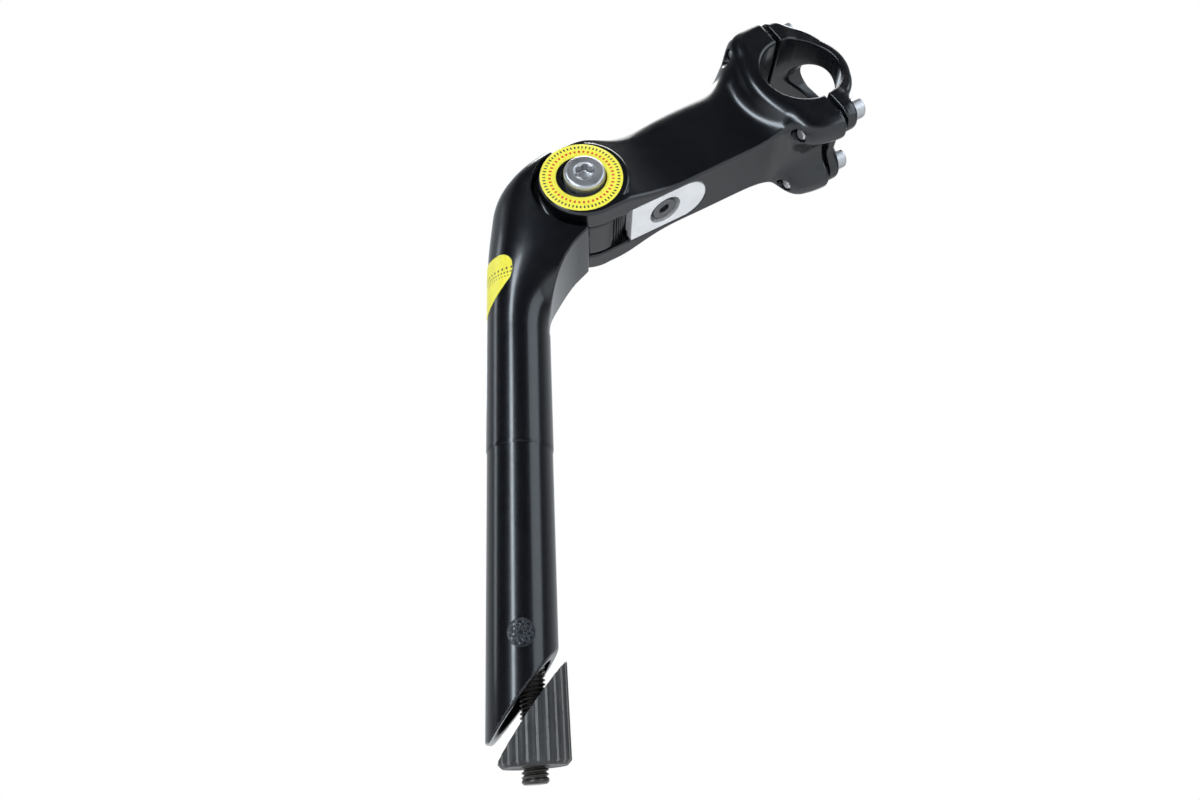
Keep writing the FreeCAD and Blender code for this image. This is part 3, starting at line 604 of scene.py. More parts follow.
@dataclass(frozen=True)
class Film:
    """A printed yellow film: rows of plain ticks on its own UV, generic and without words."""

    name: str
    rows: tuple[TickRow, ...]
    ground: tuple[float, float, float] = (0.90, 0.80, 0.075)

    def make(self) -> bpy.types.Material:
        """Builds the material: the ground with each printed row laid over it in turn."""
        sheet = Sheet(self.name)
        sheet.shader.inputs["Specular IOR Level"].default_value = 0.4
        ground = sheet.tint(sheet.spread(sheet.noise(300.0), "Fac", 0.0, 1.0), 0, self.ground,
                            tuple(0.94 * part for part in self.ground))
        for row in self.rows:
            printed = sheet.add("ShaderNodeMix", data_type="RGBA")
            sheet.join(row.mask(sheet), 0, printed, 0)
            sheet.join(ground, 2, printed, 6)
            printed.inputs[7].default_value = (*row.ink, 1.0)
            ground = printed
        sheet.join(ground, 2, sheet.shader, "Base Color")
        gloss = sheet.spread(sheet.noise(200.0), "Fac", 0.32, 0.42)
        sheet.join(gloss, 0, sheet.shader, "Roughness")
        sheet.relief(sheet.noise(800.0), "Fac", 0.08, 0.00005)
        return sheet.material


def dress(piece: bpy.types.Object, material: bpy.types.Material) -> None:
    """Gives every part of a piece one material."""
    if piece.material_slots:
        for slot in piece.material_slots:
            slot.material = material
    else:
        piece.data.materials.append(material)


def join_body(piece: bpy.types.Object, body: str, slot: str, *nodes: str) -> None:
    """Rides a new piece on its body, and hides the nodes that it stands for."""
    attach(piece, body)
    if nodes:
        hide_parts(*nodes)
    LOG.info("%s: %d faces on %s", piece.name, len(piece.data.polygons), body)


# ------------------------------------------------------------------ quill

@dataclass
class Quill:
    """The tube, its head and the toothed knuckle, with the neck's label and the guide's mark."""

    coat: bpy.types.Material
    guide_radius: float = 11.1
    coat_step: float = 0.25
    step_length: float = 1.4
    tube_top: float = 45.0
    head_foot: float = 42.0
    tip: float = 91.8
    slant: float = math.radians(52.0)
    slant_drop: float = 79.6
    bore: float = 8.25
    web_floor: float = 54.0
    seat: float = 60.0
    passage: float = 4.5
    well: float = 7.2
    pivot_bore: float = 6.5
    half_width: float = 15.5
    shoulder: float = 19.8
    knuckle: float = 16.5
    knuckle_half: float = 8.3
    tooth_bed: float = 15.3
    tooth_root: float = 15.75
    first_tooth: float = -50.1
    tooth_pitch: float = 5.0
    tooth_count: int = 19

    neck: float = 11.35
    throat_fillet: float = 11.5
    mark_radius: float = 4.3
    mark_across: float = 0.4
    mark_level: float = -61.8
    mark_rows: int = 25

    front = ((26.6, 92.0), (1.0, 0.06))
    under = ((27.2, 82.2), (0.745, -0.667))
    top = ((0.0, 121.7), (0.023, 1.0))
    brow = ((9.0, 121.5), (3.3 / 6.53, 5.64 / 6.53))
    edge = ((26.0, 102.0), (16.2 / 19.79, 11.36 / 19.79))

    levels = (36.0, 46.0, 60.0, 76.0, 92.0, 104.0, 113.0, 121.5)
    centres = (0.0, 0.0, 2.4, 11.0, 19.0, 21.0, 22.0, 24.0)
    half_lengths = (11.35, 11.35, 13.7, 22.2, 28.9, 28.5, 23.5, 16.0)
    half_widths = (11.35, 11.35, 12.7, 15.6, 17.0, 17.6, 17.6, 13.5)

    def ovals(self, x: Array, y: Array, z: Array) -> Array:
        """Distance to the stack of level ovals: k1 (k1 - 1) / k2, with k1 = |p / half| and
        k2 = |p / half squared|, and the halves read from the table by height."""
        centre = smooth_table(z, self.levels, self.centres)
        long = smooth_table(z, self.levels, self.half_lengths)
        wide = smooth_table(z, self.levels, self.half_widths)
        fuller = 1.0 + 1.1 * np.clip((z - 50.0) / 22.0, 0.0, 1.0) ** 2
        long = np.where(x > centre, long * fuller, long)
        across, deep = (x - centre) / long, y / wide
        first = np.hypot(across, deep) + 1e-9
        second = np.hypot(across / long, deep / wide) + 1e-9
        return first * (first - 1.0) / second

    def head(self, x: Array, y: Array, z: Array) -> Array:
        """The head: the ovals flattened at the sides, cut by five planes, and hollowed in two
        arcs that clear the fork's cheeks."""
        side = np.abs(y)
        head = meet(self.ovals(x, y, z), side - self.half_width, 4.0)
        throat = meet(plane(x, z, *self.front), plane(x, z, *self.under), 1.0)
        head = meet(head, blend(x - self.neck, throat, self.throat_fillet), 0.7)
        for flat, round_off in ((self.top, 1.6), (self.brow, 1.2), (self.edge, 0.6)):
            head = meet(head, plane(x, z, *flat), round_off)
        pivot = np.hypot(x - PIVOT[0], z - PIVOT[2])
        return cut(head, meet(pivot - self.shoulder, self.knuckle_half - side, 0.8), 0.55)

    def field(self, x: Array, y: Array, z: Array) -> Array:
        """The whole forging, in the stem's frame."""
        axis = np.hypot(x, y)
        pivot = np.hypot(x - PIVOT[0], z - PIVOT[2])
        head = self.head(x, y, z)
        upper = self.coat_step * ease(np.clip(z / self.step_length + 0.5, 0.0, 1.0))
        tube = np.maximum(axis - self.guide_radius - upper, z - self.tube_top)
        body = np.minimum(np.maximum(head, self.head_foot - z), tube)
        angle = np.degrees(np.arctan2(z - PIVOT[2], x - PIVOT[0]))
        toothed = (angle > self.first_tooth - 3.5) & (angle < 43.5)
        rim = np.where(toothed, self.tooth_bed, self.knuckle)
        disc = meet(pivot - rim, np.abs(y) - self.knuckle_half, 0.7)
        body = blend(body, disc, 1.0)
        rise = x * math.tan(self.slant) - self.slant_drop
        body = meet(body, (rise - z) * math.cos(self.slant), 0.5)
        body = meet(body, -self.tip - z, 0.6)
        hollow = meet(axis - self.bore, z - self.web_floor, 1.0)
        hollow = np.minimum(hollow, axis - self.passage)
        hollow = np.minimum(hollow, meet(axis - self.well, self.seat - z, 0.6))
        body = cut(body, hollow, 0.6)
        return cut(body, pivot - self.pivot_bore, 0.4)

    def teeth(self) -> bpy.types.Object:
        """The toothed front of the knuckle.

        A closed outline, its outer side a row of flat-topped teeth between V-shaped spaces and its
        inner side an arc inside the forging, carried across the knuckle; both ends are bevelled
        and then drawn in to the inner arc.
        """
        start, end = self.first_tooth - 4.0, 44.0
        turn = np.radians(np.linspace(start, end, 900))
        phase = (np.degrees(turn) - self.first_tooth) / self.tooth_pitch
        in_row = (phase > -0.5) & (phase < self.tooth_count - 0.5)
        off = np.abs(phase - np.round(phase)) * self.tooth_pitch
        depth = ease(np.clip((2.15 - off) / 1.35, 0.0, 1.0))
        outer = self.knuckle - np.where(in_row, depth, 0.0) * (self.knuckle - self.tooth_root)
        inner = 14.9
        rows = []
        half = self.knuckle_half
        for across, shrink in ((-half, None), (-half, 0.45), (-half + 0.12, 0.2), (-half + 0.45, 0.0),
                               (half - 0.45, 0.0), (half - 0.12, 0.2), (half, 0.45), (half, None)):
            reach = np.full_like(outer, inner) if shrink is None else outer - shrink
            radius = np.concatenate([reach, np.full(60, inner)])
            angle = np.concatenate([turn, np.radians(np.linspace(end, start, 60))])
            rows.append(np.stack([radius * np.cos(angle), np.full_like(radius, across),
                                  radius * np.sin(angle)], axis=-1))
        return grid_piece("knuckle_teeth", np.array(rows), Placement(origin=PIVOT))

    def around(self, x: Array, level: Array, out: float, side: Array) -> Array:
        """Points on the stack of ovals, moved out by a thickness, at given X and height."""
        centre = smooth_table(level, self.levels, self.centres)
        long = smooth_table(level, self.levels, self.half_lengths)
        wide = smooth_table(level, self.levels, self.half_widths)
        turn = side * np.arccos(np.clip((centre - x) / long, -1.0, 1.0))
        along, deep = -np.cos(turn), np.sin(turn)
        lift = np.hypot(along / long, deep / wide)
        return np.stack([centre + along * (long + out / (lift * long)),
                         deep * (wide + out / (lift * wide)), level + 0.0 * turn], axis=-1)

    def neck_label(self, film: bpy.types.Material) -> None:
        """The label wrapped round the back of the neck: heights by turns round the ovals, each
        height running between its own front edges, as a closed skin 0.15 thick."""
        level = np.linspace(51.9, 73.4, 60)
        edge = np.interp(level, (51.6, 52.4, 57.5, 63.0, 66.5, 69.6, 71.6, 72.9, 73.5),
                         (-11.0, -10.6, -6.4, -1.9, -1.1, -1.4, -2.6, -4.2, -6.0))
        centre = smooth_table(level, self.levels, self.centres)
        long = smooth_table(level, self.levels, self.half_lengths)
        swing = np.arccos(np.clip((centre - edge) / long, -1.0, 1.0))
        share = np.linspace(-1.0, 1.0, 90)
        turn = swing[:, None] * share[None, :]
        x = centre[:, None] - long[:, None] * np.cos(turn)
        heights = np.broadcast_to(level[:, None], turn.shape)
        outer = self.around(x, heights, 0.16, np.sign(share)[None, :])
        inner = self.around(x, heights, -0.15, np.sign(share)[None, :])
        loop = np.concatenate([outer, inner[:, ::-1]], axis=1)
        first, last = inner[:1], inner[-1:]
        cap_low = np.concatenate([first, first[:, ::-1]], axis=1)
        cap_high = np.concatenate([last, last[:, ::-1]], axis=1)
        grid = np.concatenate([cap_low, loop, cap_high], axis=0)
        piece = grid_piece("neck_label", grid, STEM)
        dress(piece, film)
        join_body(piece, "quill", "label", "quill_label")

    def guide_mark(self, ink: bpy.types.Material) -> None:
        """The round mark on the guide: a disc of radii by angles, bent onto the tube."""
        radius = np.concatenate([[0.0], np.linspace(0.2, self.mark_radius, self.mark_rows - 1),
                                 [self.mark_radius, 0.0]])
        angle = np.linspace(0.0, TAU, 145)[:-1]
        face = radius[:self.mark_rows, None]
        rim = np.exp(-((face - self.mark_radius + 0.25) / 0.16) ** 2)
        petals = np.sin(9.0 * angle)[None, :] * np.sin(face * 3.4)
        fades = np.clip((self.mark_radius - 0.4 - face) / 0.4, 0.0, 1.0)
        out = np.concatenate([0.05 + 0.12 * rim + 0.10 * petals * fades,
                              np.full((2, len(angle)), -0.12)])
        x = self.mark_across + radius[:, None] * np.cos(angle)
        z = self.mark_level + radius[:, None] * np.sin(angle)
        y = -np.sqrt((self.guide_radius + out) ** 2 - x ** 2)
        piece = grid_piece("guide_mark", np.stack([x, y, z], axis=-1), STEM)
        dress(piece, ink)
        join_body(piece, "quill", "black_alloy")

    def build(self, film: bpy.types.Material, ink: bpy.types.Material) -> None:
        """Builds and dresses the quill's pieces."""
        forging = field_piece("quill_forging", self.field, STEM, (-13.0, -17.0, -92.0),
                              (44.0, 17.0, 123.0), 0.64)
        dress(forging, self.coat)
        join_body(forging, "quill", "black_alloy", "quill_body")
        teeth = self.teeth()
        dress(teeth, self.coat)
        join_body(teeth, "quill", "black_alloy")
        self.neck_label(film)
        self.guide_mark(ink)


# ------------------------------------------------------------------ screws

class Socket(Enum):
    """The shape of a screw's drive."""

    HEXAGON = 6
    STAR = 12


@dataclass
class Screw:
    """A turned screw: head, drive and shank, its seat at the origin and its head up."""

    name: str
    place: Placement
    head_radius: float
    head_height: float
    shank_radius: float
    length: float
    key: float
    head_round: float = 0.5
    pitch: float = 0.0
    thread_from: float = 0.0
    drive: Socket = Socket.HEXAGON
    drive_share: float = 0.6
    knurl: int = 0
    columns: int = 96

    def drive_radius(self, angle: Array) -> Array:
        """The drive's outline: a hexagon's flats, apothem / cos of the angle from the nearest
        flat, or a star whose six lobes swell and shrink by a cosine."""
        if self.drive is Socket.STAR:
            return self.key / 2 * (1.0 + 0.11 * np.cos(6 * angle))
        off = np.mod(angle + math.pi / 6, math.pi / 3) - math.pi / 6
        return np.minimum(self.key / 2 / np.cos(off), self.key / 2 * 1.13)

    def thread(self, angle: Array, height: Array) -> Array:
        """How far the thread's flank lies under its crest: a flattened triangle wave of
        height / pitch less the share of a turn."""
        phase = np.mod(height / self.pitch - angle / TAU, 1.0)
        wave = 1.0 - np.abs(2.0 * phase - 1.0)
        return 0.6134 * self.pitch * (1.0 - np.clip((wave - 0.12) / 0.74, 0.0, 1.0))

    def build(self) -> bpy.types.Object:
        """Turns the profile about the axis, row by row, and swaps rows to the drive's outline."""
        angle = np.linspace(0.0, TAU, self.columns, endpoint=False)[None, :]
        shank = rounded_profile([
            (0.0, -self.length, 0.0), (self.shank_radius - 0.6, -self.length, 0.1),
            (self.shank_radius, -self.length + 0.6, 0.1), (self.shank_radius, 0.0, 0.0)])
        bottom = -self.length + 0.9
        top = -self.thread_from
        blocks = [np.repeat(shank[:-1, :, None], self.columns, axis=2)]
        if self.pitch > 0.0:
            height = np.arange(bottom, top, self.pitch / 9)[:, None]
            fade = np.clip((height - bottom) / self.pitch, 0, 1)
            fade = fade * np.clip((top - height) / self.pitch, 0.0, 1.0)
            radius = self.shank_radius - self.thread(angle, height) * fade
            blocks.append(np.stack([radius, np.broadcast_to(height, radius.shape)], axis=1))
        floor = self.head_height * (1.0 - self.drive_share)
        mouth = self.key / 2 * 1.19
        head = rounded_profile([
            (self.shank_radius, -0.2, 0.0), (self.shank_radius, 0.0, 0.05),
            (self.head_radius, 0.0, 0.25), (self.head_radius, self.head_height, self.head_round),
            (mouth + 0.25, self.head_height, 0.15), (mouth, self.head_height - 0.3, 0.0)], 7)
        blocks.append(np.repeat(head[:, :, None], self.columns, axis=2))
        drive = self.drive_radius(angle)[0]
        deep = np.array([self.head_height - 0.42, self.head_height - 0.5, floor + 0.08, floor])
        blocks.append(np.stack([np.broadcast_to(drive, (4, self.columns)),
                                np.repeat(deep[:, None], self.columns, axis=1)], axis=1))
        cone = np.array([[self.key * 0.36, floor], [self.key * 0.34, floor - 0.02],
                         [0.0, floor - 0.25 * min(1.0, floor)]])
        blocks.append(np.repeat(cone[:, :, None], self.columns, axis=2))
        rows = np.concatenate(blocks, axis=0)
        radius, height = rows[:, 0], rows[:, 1]
        if self.knurl:
            side = (radius > self.head_radius - 0.02) & (height > 0.5)
            side &= height < self.head_height - self.head_round - 0.1
            radius = radius - side * 0.12 * (0.5 + 0.5 * np.cos(self.knurl * angle))
        grid = np.stack([radius * np.cos(angle), radius * np.sin(angle), height], axis=-1)
        return grid_piece(self.name, grid, self.place)


# ------------------------------------------------------------------ expander

@dataclass
class Expander:
    """The draw bolt with its washer, and the ribbed wedge that it pulls into the tube."""

    frame: dict
    oxide: bpy.types.Material
    iron: bpy.types.Material
    zinc: bpy.types.Material
    lean: float = math.radians(1.2)
    seat: float = 60.0
    washer: float = 1.4
    wedge_radius: float = 10.8
    wedge_bottom: float = -98.4
    wedge_drop: float = -83.0
    slant: float = math.radians(52.0)
    ribs: int = 22
    rib_depth: float = 0.45

    def leaning(self, height: float) -> Placement:
        """Axes that lean with the bolt, their origin at a height on it."""
        up = (-math.sin(self.lean), 0.0, math.cos(self.lean))
        rise = height - self.seat
        origin = (rise * up[0], 0.0, self.seat + rise * up[2])
        return Placement(origin, (math.cos(self.lean), 0.0, math.sin(self.lean)),
                         (0.0, 1.0, 0.0), up)

    def bolt(self) -> None:
        """The long bolt: black, its head sunk in the head's well, threaded at its foot."""
        piece = Screw("draw_bolt", self.leaning(self.seat + self.washer), 6.5, 8.0, 4.0, 164.4, 6.0,
                      pitch=1.25, thread_from=118.0, knurl=40, head_round=0.6, columns=80).build()
        dress(piece, self.oxide)
        join_body(piece, "draw_bolt", "black_steel", "expander_bolt")

    def wedge(self) -> None:
        """The wedge: a closed profile (bore, foot, bevel, ribbed side, sloped top) turned round
        its axis, the top's height rising with the slant times X."""
        angle = np.linspace(0.0, TAU, self.ribs * 20, endpoint=False)
        phase = np.mod(angle / TAU * self.ribs, 1.0) - 0.5
        scoop = np.clip(1.0 - (np.abs(phase) / 0.415) ** 2, 0.0, 1.0)
        outer = self.wedge_radius - self.rib_depth * scoop
        bore, foot, bevel = 4.05, self.wedge_bottom, 1.2
        slope = math.tan(self.slant)
        ones = np.ones_like(angle)
        rows = []

        def add(radius: Array | float, height: Array | float) -> None:
            """Adds one row of the profile."""
            rows.append(np.stack([radius * np.cos(angle), radius * np.sin(angle),
                                  height * ones], axis=-1))

        add(bore, foot + 0.4)
        add(bore + 0.4, foot)
        add(self.wedge_radius - 1.45, foot)
        add(np.minimum(outer, self.wedge_radius - bevel), foot)
        add(np.minimum(outer, self.wedge_radius - 0.9 * bevel), foot + 0.1)
        add(outer, foot + bevel)
        top = self.wedge_drop + slope * outer * np.cos(angle)
        for share in np.linspace(0.02, 0.985, 40):
            add(outer, foot + bevel + share * (top - foot - bevel))
        add(outer - 0.06, top - 0.04)
        for radius in (outer - 0.3, 9.0, 7.0, bore + 0.5):
            add(radius, self.wedge_drop + slope * radius * np.cos(angle))
        add(bore, self.wedge_drop + slope * bore * np.cos(angle) - 0.5)
        piece = grid_piece("draw_wedge", np.array(rows), self.leaning(0.0), closed=True)
        # Crests, rims and foot lightened as a painted highlight.
        self.store_painted_highlight(piece)
        dress(piece, self.iron)
        join_body(piece, "wedge", "cast_wedge", "expander_wedge")

    def store_painted_highlight(self, piece: bpy.types.Object) -> None:
        """Paints a highlight on the crests, the rims and the foot, stored per vertex from each
        vertex's place on the wedge.
        """
        count = len(piece.data.vertices)
        flat = np.empty(count * 3, np.float32)
        piece.data.vertices.foreach_get("co", flat)
        axes = self.leaning(0.0)
        local = (flat.reshape(-1, 3) / MM - np.array(axes.origin)) @ axes.turn().T
        radius = np.hypot(local[:, 0], local[:, 1])
        crest = np.clip((radius - (self.wedge_radius - 0.16)) / 0.14, 0.0, 1.0)
        top = self.wedge_drop + math.tan(self.slant) * local[:, 0]
        rim = np.exp(-np.abs(local[:, 2] - top) / 0.35) * (radius > self.wedge_radius - 0.9)
        foot = np.exp(-np.abs(local[:, 2] - self.wedge_bottom - 0.6) / 0.8) * 0.4
        painted_highlight = np.clip(crest + 0.8 * rim + foot * (radius > 8.5), 0.0, 1.0)
        layer = piece.data.attributes.new("painted_highlight", "FLOAT", "POINT")
        layer.data.foreach_set("value", painted_highlight.astype(np.float32))

    def build(self) -> None:
        """Builds the bolt and wedge, and dresses the washer."""
        self.bolt()
        self.wedge()
        dress(self.frame["nodes"]["expander_washer"], self.zinc)


# ------------------------------------------------------------------ pivot

@dataclass
class Pivot:
    """The bolt and sleeve nut through the knuckle, their bushes and the ring label."""

    frame: dict
    zinc: bpy.types.Material
    plastic: bpy.types.Material
    seat: float = 15.5
    cheek: float = 17.5
    label_inner: float = 9.5
    label_outer: float = 15.4
    label_ahead: float = -1.0
    label_up: float = 0.5

    def head(self, name: str, side: float, shank: float, length: float, node: str) -> None:
        """One of the two matching heads, on the side that the sign says."""
        place = ARM.inside(0.0, side * self.seat, 0.0, (0.0, side, 0.0), (1.0, 0.0, 0.0))
        piece = Screw(name, place, 7.8, 5.4, shank, length, 6.6, head_round=1.7,
                      drive=Socket.STAR, drive_share=0.7).build()
        dress(piece, self.zinc)
        join_body(piece, "arm", "zinc_steel", node)

    def ring_label(self, film: bpy.types.Material) -> None:
        """The ring label on the cheek: radii by angles, as a closed skin."""
        angle = np.linspace(0.0, TAU, 160, endpoint=False)
        inner, outer, bevel = self.label_inner, self.label_outer, 0.06
        radius = np.array([inner, inner, inner + bevel, outer - bevel, outer, outer])
        height = np.array([0.0, 0.17, 0.2, 0.2, 0.17, 0.0])
        grid = np.stack([
            self.label_ahead + radius[:, None] * np.cos(angle),
            np.broadcast_to(-(self.cheek + height[:, None]), (len(radius), len(angle))),
            self.label_up + radius[:, None] * np.sin(angle)], axis=-1)
        piece = grid_piece("ring_label", grid, ARM, closed=True)
        dress(piece, film)
        join_body(piece, "arm", "label", "pivot_label")

    def build(self, film: bpy.types.Material) -> None:
        """Builds both heads and the label, and dresses the bushes."""
        self.head("pivot_bolt_head", -1.0, 4.0, 21.5, "pivot_bolt")
        self.head("pivot_sleeve_nut", 1.0, 5.0, 30.0, "pivot_sleeve")
        self.ring_label(film)
        for side in ("left", "right"):
            dress(self.frame["nodes"]["pivot_bush_" + side], self.plastic)


# ------------------------------------------------------------------ arm

CLAMP_AHEAD, CLAMP_UP, CLAMP_BORE = 100.4, 3.2, 15.9
BOSS_ACROSS, BOSS_UPPER, BOSS_LOWER = 14.5, 26.3, -21.1
LOCK_AHEAD = 26.3


@dataclass
class Arm:
    """The arm's forging: fork cheeks, beam, four screw bosses and the rear of the bar clamp."""

    coat: bpy.types.Material
    base: float = 17.0
    cheek: float = 17.5
    clamp_half: float = 20.3
    saddle: float = 21.6
    boss: float = 6.5
    split: float = 99.6
    valleys = ((39.5, 84.0), (-29.8, 79.0))
    valley_radius: float = 9.5
    fork_half: float = 9.05
    fork_reach: float = 17.3
    fork_depth: float = 10.5
    pocket_end: float = 35.3
    pocket_half: float = 9.65
    pocket_floor: float = 8.35
    bush_radius: float = 8.4
    bush_seat: float = 15.5
    pin_bore: float = 5.05
    face_tapping: float = 2.62
    tapping_start: float = 78.0
    core_radius: float = 9.0
    core_up: float = 1.7
    core_start: float = 50.0
    lock_bore: float = 3.05
    lock_roof: float = 14.0

    aheads = (0.0, 9.0, 18.0, 27.0, 40.0, 60.0, 73.0, 80.0, 87.0, 93.0, 99.6)
    widths = (17.4, 17.2, 14.6, 12.6, 12.3, 12.4, 13.6, 16.2, 19.3, 20.3, 20.3)
    crowns = (17.0, 17.3, 18.2, 19.4, 20.8, 21.8, 23.8, 28.2, 31.6, 32.6, 32.8)
    rounds = (1.5, 2.5, 6.5, 9.5, 10.5, 10.8, 10.6, 9.2, 7.6, 6.8, 6.6)
    bases = (17.0, 17.0, 17.0, 17.0, 17.0, 17.0, 17.0, 18.0, 22.4, 26.4, 27.6)
    heels = (1.5, 1.5, 1.5, 1.5, 1.5, 1.5, 1.6, 2.4, 4.5, 6.3, 6.5)

    def field(self, a: Array, y: Array, h: Array) -> Array:
        """The forging in the arm's frame: ahead, across, up."""
        side = np.abs(y)
        half = smooth_table(a, self.aheads, self.widths)
        crown = smooth_table(a, self.aheads, self.crowns)
        corner = np.clip(smooth_table(a, self.aheads, self.rounds), 1.4, 12.0)
        pivot, clamp = np.hypot(a, h), np.hypot(a - CLAMP_AHEAD, h - CLAMP_UP)
        floor = smooth_table(a, self.aheads, self.bases)
        heel = np.clip(smooth_table(a, self.aheads, self.heels), 1.2, 6.6)
        body = meet(side - half, h - crown, corner)
        body = np.maximum(meet(body, -floor - h, heel), -a)
        body = np.minimum(body, meet(pivot - self.base, side - self.cheek, 1.3))
        body = blend(body, meet(clamp - self.saddle, side - self.clamp_half, 3.4), 8.0)
        for up, start in ((BOSS_UPPER, 84.5), (BOSS_LOWER, 83.2)):
            rod = meet(np.hypot(side - BOSS_ACROSS, h - up) - self.boss, start - a, 6.4)
            body = blend(body, rod, 6.0)
        body = meet(body, side - self.clamp_half, 2.4)
        for up, start in self.valleys:
            body = cut(body, meet(np.hypot(y, h - up) - self.valley_radius, start - a, 7.0), 4.2)
        body = meet(body, a - self.split, 1.1)
        mouth = meet(side - self.clamp_half, CLAMP_BORE - clamp, 1.5)
        body = np.maximum(body, mouth)
        fork = np.minimum(pivot - self.fork_reach, a - self.fork_depth)
        body = cut(body, meet(side - self.fork_half, fork, 0.5), 0.8)
        plan = np.hypot(np.maximum(a - self.pocket_end, 0.0), y) - self.pocket_half
        pocket = meet(np.maximum(plan, 10.0 - a), h + self.pocket_floor, 0.5)
        body = cut(body, pocket, 0.6)
        body = cut(body, meet(pivot - self.bush_radius, self.bush_seat - side, 0.3), 0.5)
        body = cut(body, pivot - self.pin_bore, 0.3)
        for up in (BOSS_UPPER, BOSS_LOWER):
            tapping = np.hypot(side - BOSS_ACROSS, h - up) - self.face_tapping
            body = cut(body, np.maximum(tapping, self.tapping_start - a), 0.45)
        core = np.hypot(y, h - self.core_up) - self.core_radius
        body = cut(body, meet(core, self.core_start - a, 2.0), 0.6)
        lock = np.hypot(a - LOCK_AHEAD, y) - self.lock_bore
        return cut(body, np.maximum(lock, h - self.lock_roof), 0.3)

    def build(self) -> None:
        """Builds and dresses the arm's forging."""
        forging = field_piece("arm_forging", self.field, ARM, (-17.5, -20.5, -28.0),
                              (100.0, 20.5, 34.0), 0.66)
        dress(forging, self.coat)
        join_body(forging, "arm", "black_alloy", "arm_body")


# ------------------------------------------------------------------ lock

@dataclass
class Lock:
    """The toothed lock plate under the arm, its screw and washer."""

    frame: dict
    blasted: bpy.types.Material
    steel: bpy.types.Material
    lift: float = 0.6364
    end: float = 35.3
    half: float = 9.5
    outer: float = 17.0
    counterbore: float = 6.7
    seat: float = 12.4
    ridges = (-47.5, -42.5, -37.5)

    def field(self, a: Array, y: Array, h: Array) -> Array:
        """The lock plate in the arm's frame, drawn back off the teeth."""
        plan = meet(np.hypot(np.maximum(a - self.end, 0.0), y) - self.half, 11.1 - a, 0.4)
        body = meet(plan, np.maximum(-self.outer - h, h + 9.4), 0.6)
        from_pivot = np.hypot(a - self.lift, h + self.lift)
        body = cut(body, from_pivot - 16.6, 0.2)
        angle = np.degrees(np.arctan2(h + self.lift, a - self.lift))
        for middle in self.ridges:
            off = np.abs(angle - middle) * math.radians(1.0) * 16.4
            flank = (off - 0.17) * 0.9 - (from_pivot - 15.87) * 0.27
            ridge = meet(np.maximum(flank, 15.87 - from_pivot), from_pivot - 17.4, 0.05)
            ridge = np.maximum(ridge, np.abs(y) - 8.2)
            body = np.minimum(body, np.maximum(ridge, -self.outer - h))
        screw = np.hypot(a - LOCK_AHEAD, y)
        body = cut(body, np.maximum(screw - self.counterbore, h + self.seat - 1.0), 0.35)
        return cut(body, screw - 3.9, 0.3)

    def build(self) -> None:
        """Builds the plate and screw, and dresses the washer."""
        plate = field_piece("lock_plate", self.field, ARM, (10.5, -9.8, -17.2),
                            (45.0, 9.8, -8.0), 0.3)
        dress(plate, self.blasted)
        join_body(plate, "lock_plate", "bare_alloy", "lock_wedge")
        place = ARM.inside(LOCK_AHEAD, 0.0, -self.seat, (0.0, 0.0, -1.0), (1.0, 0.0, 0.0))
        screw = Screw("lock_screw", place, 5.0, 4.0, 3.0, 22.0, 4.0, head_round=0.5,
                      pitch=1.0, thread_from=12.0).build()
        dress(screw, self.steel)
        join_body(screw, "lock_screw", "zinc_steel", "lock_bolt")
        dress(self.frame["nodes"]["lock_washer"], self.steel)


# ------------------------------------------------------------------ faceplate

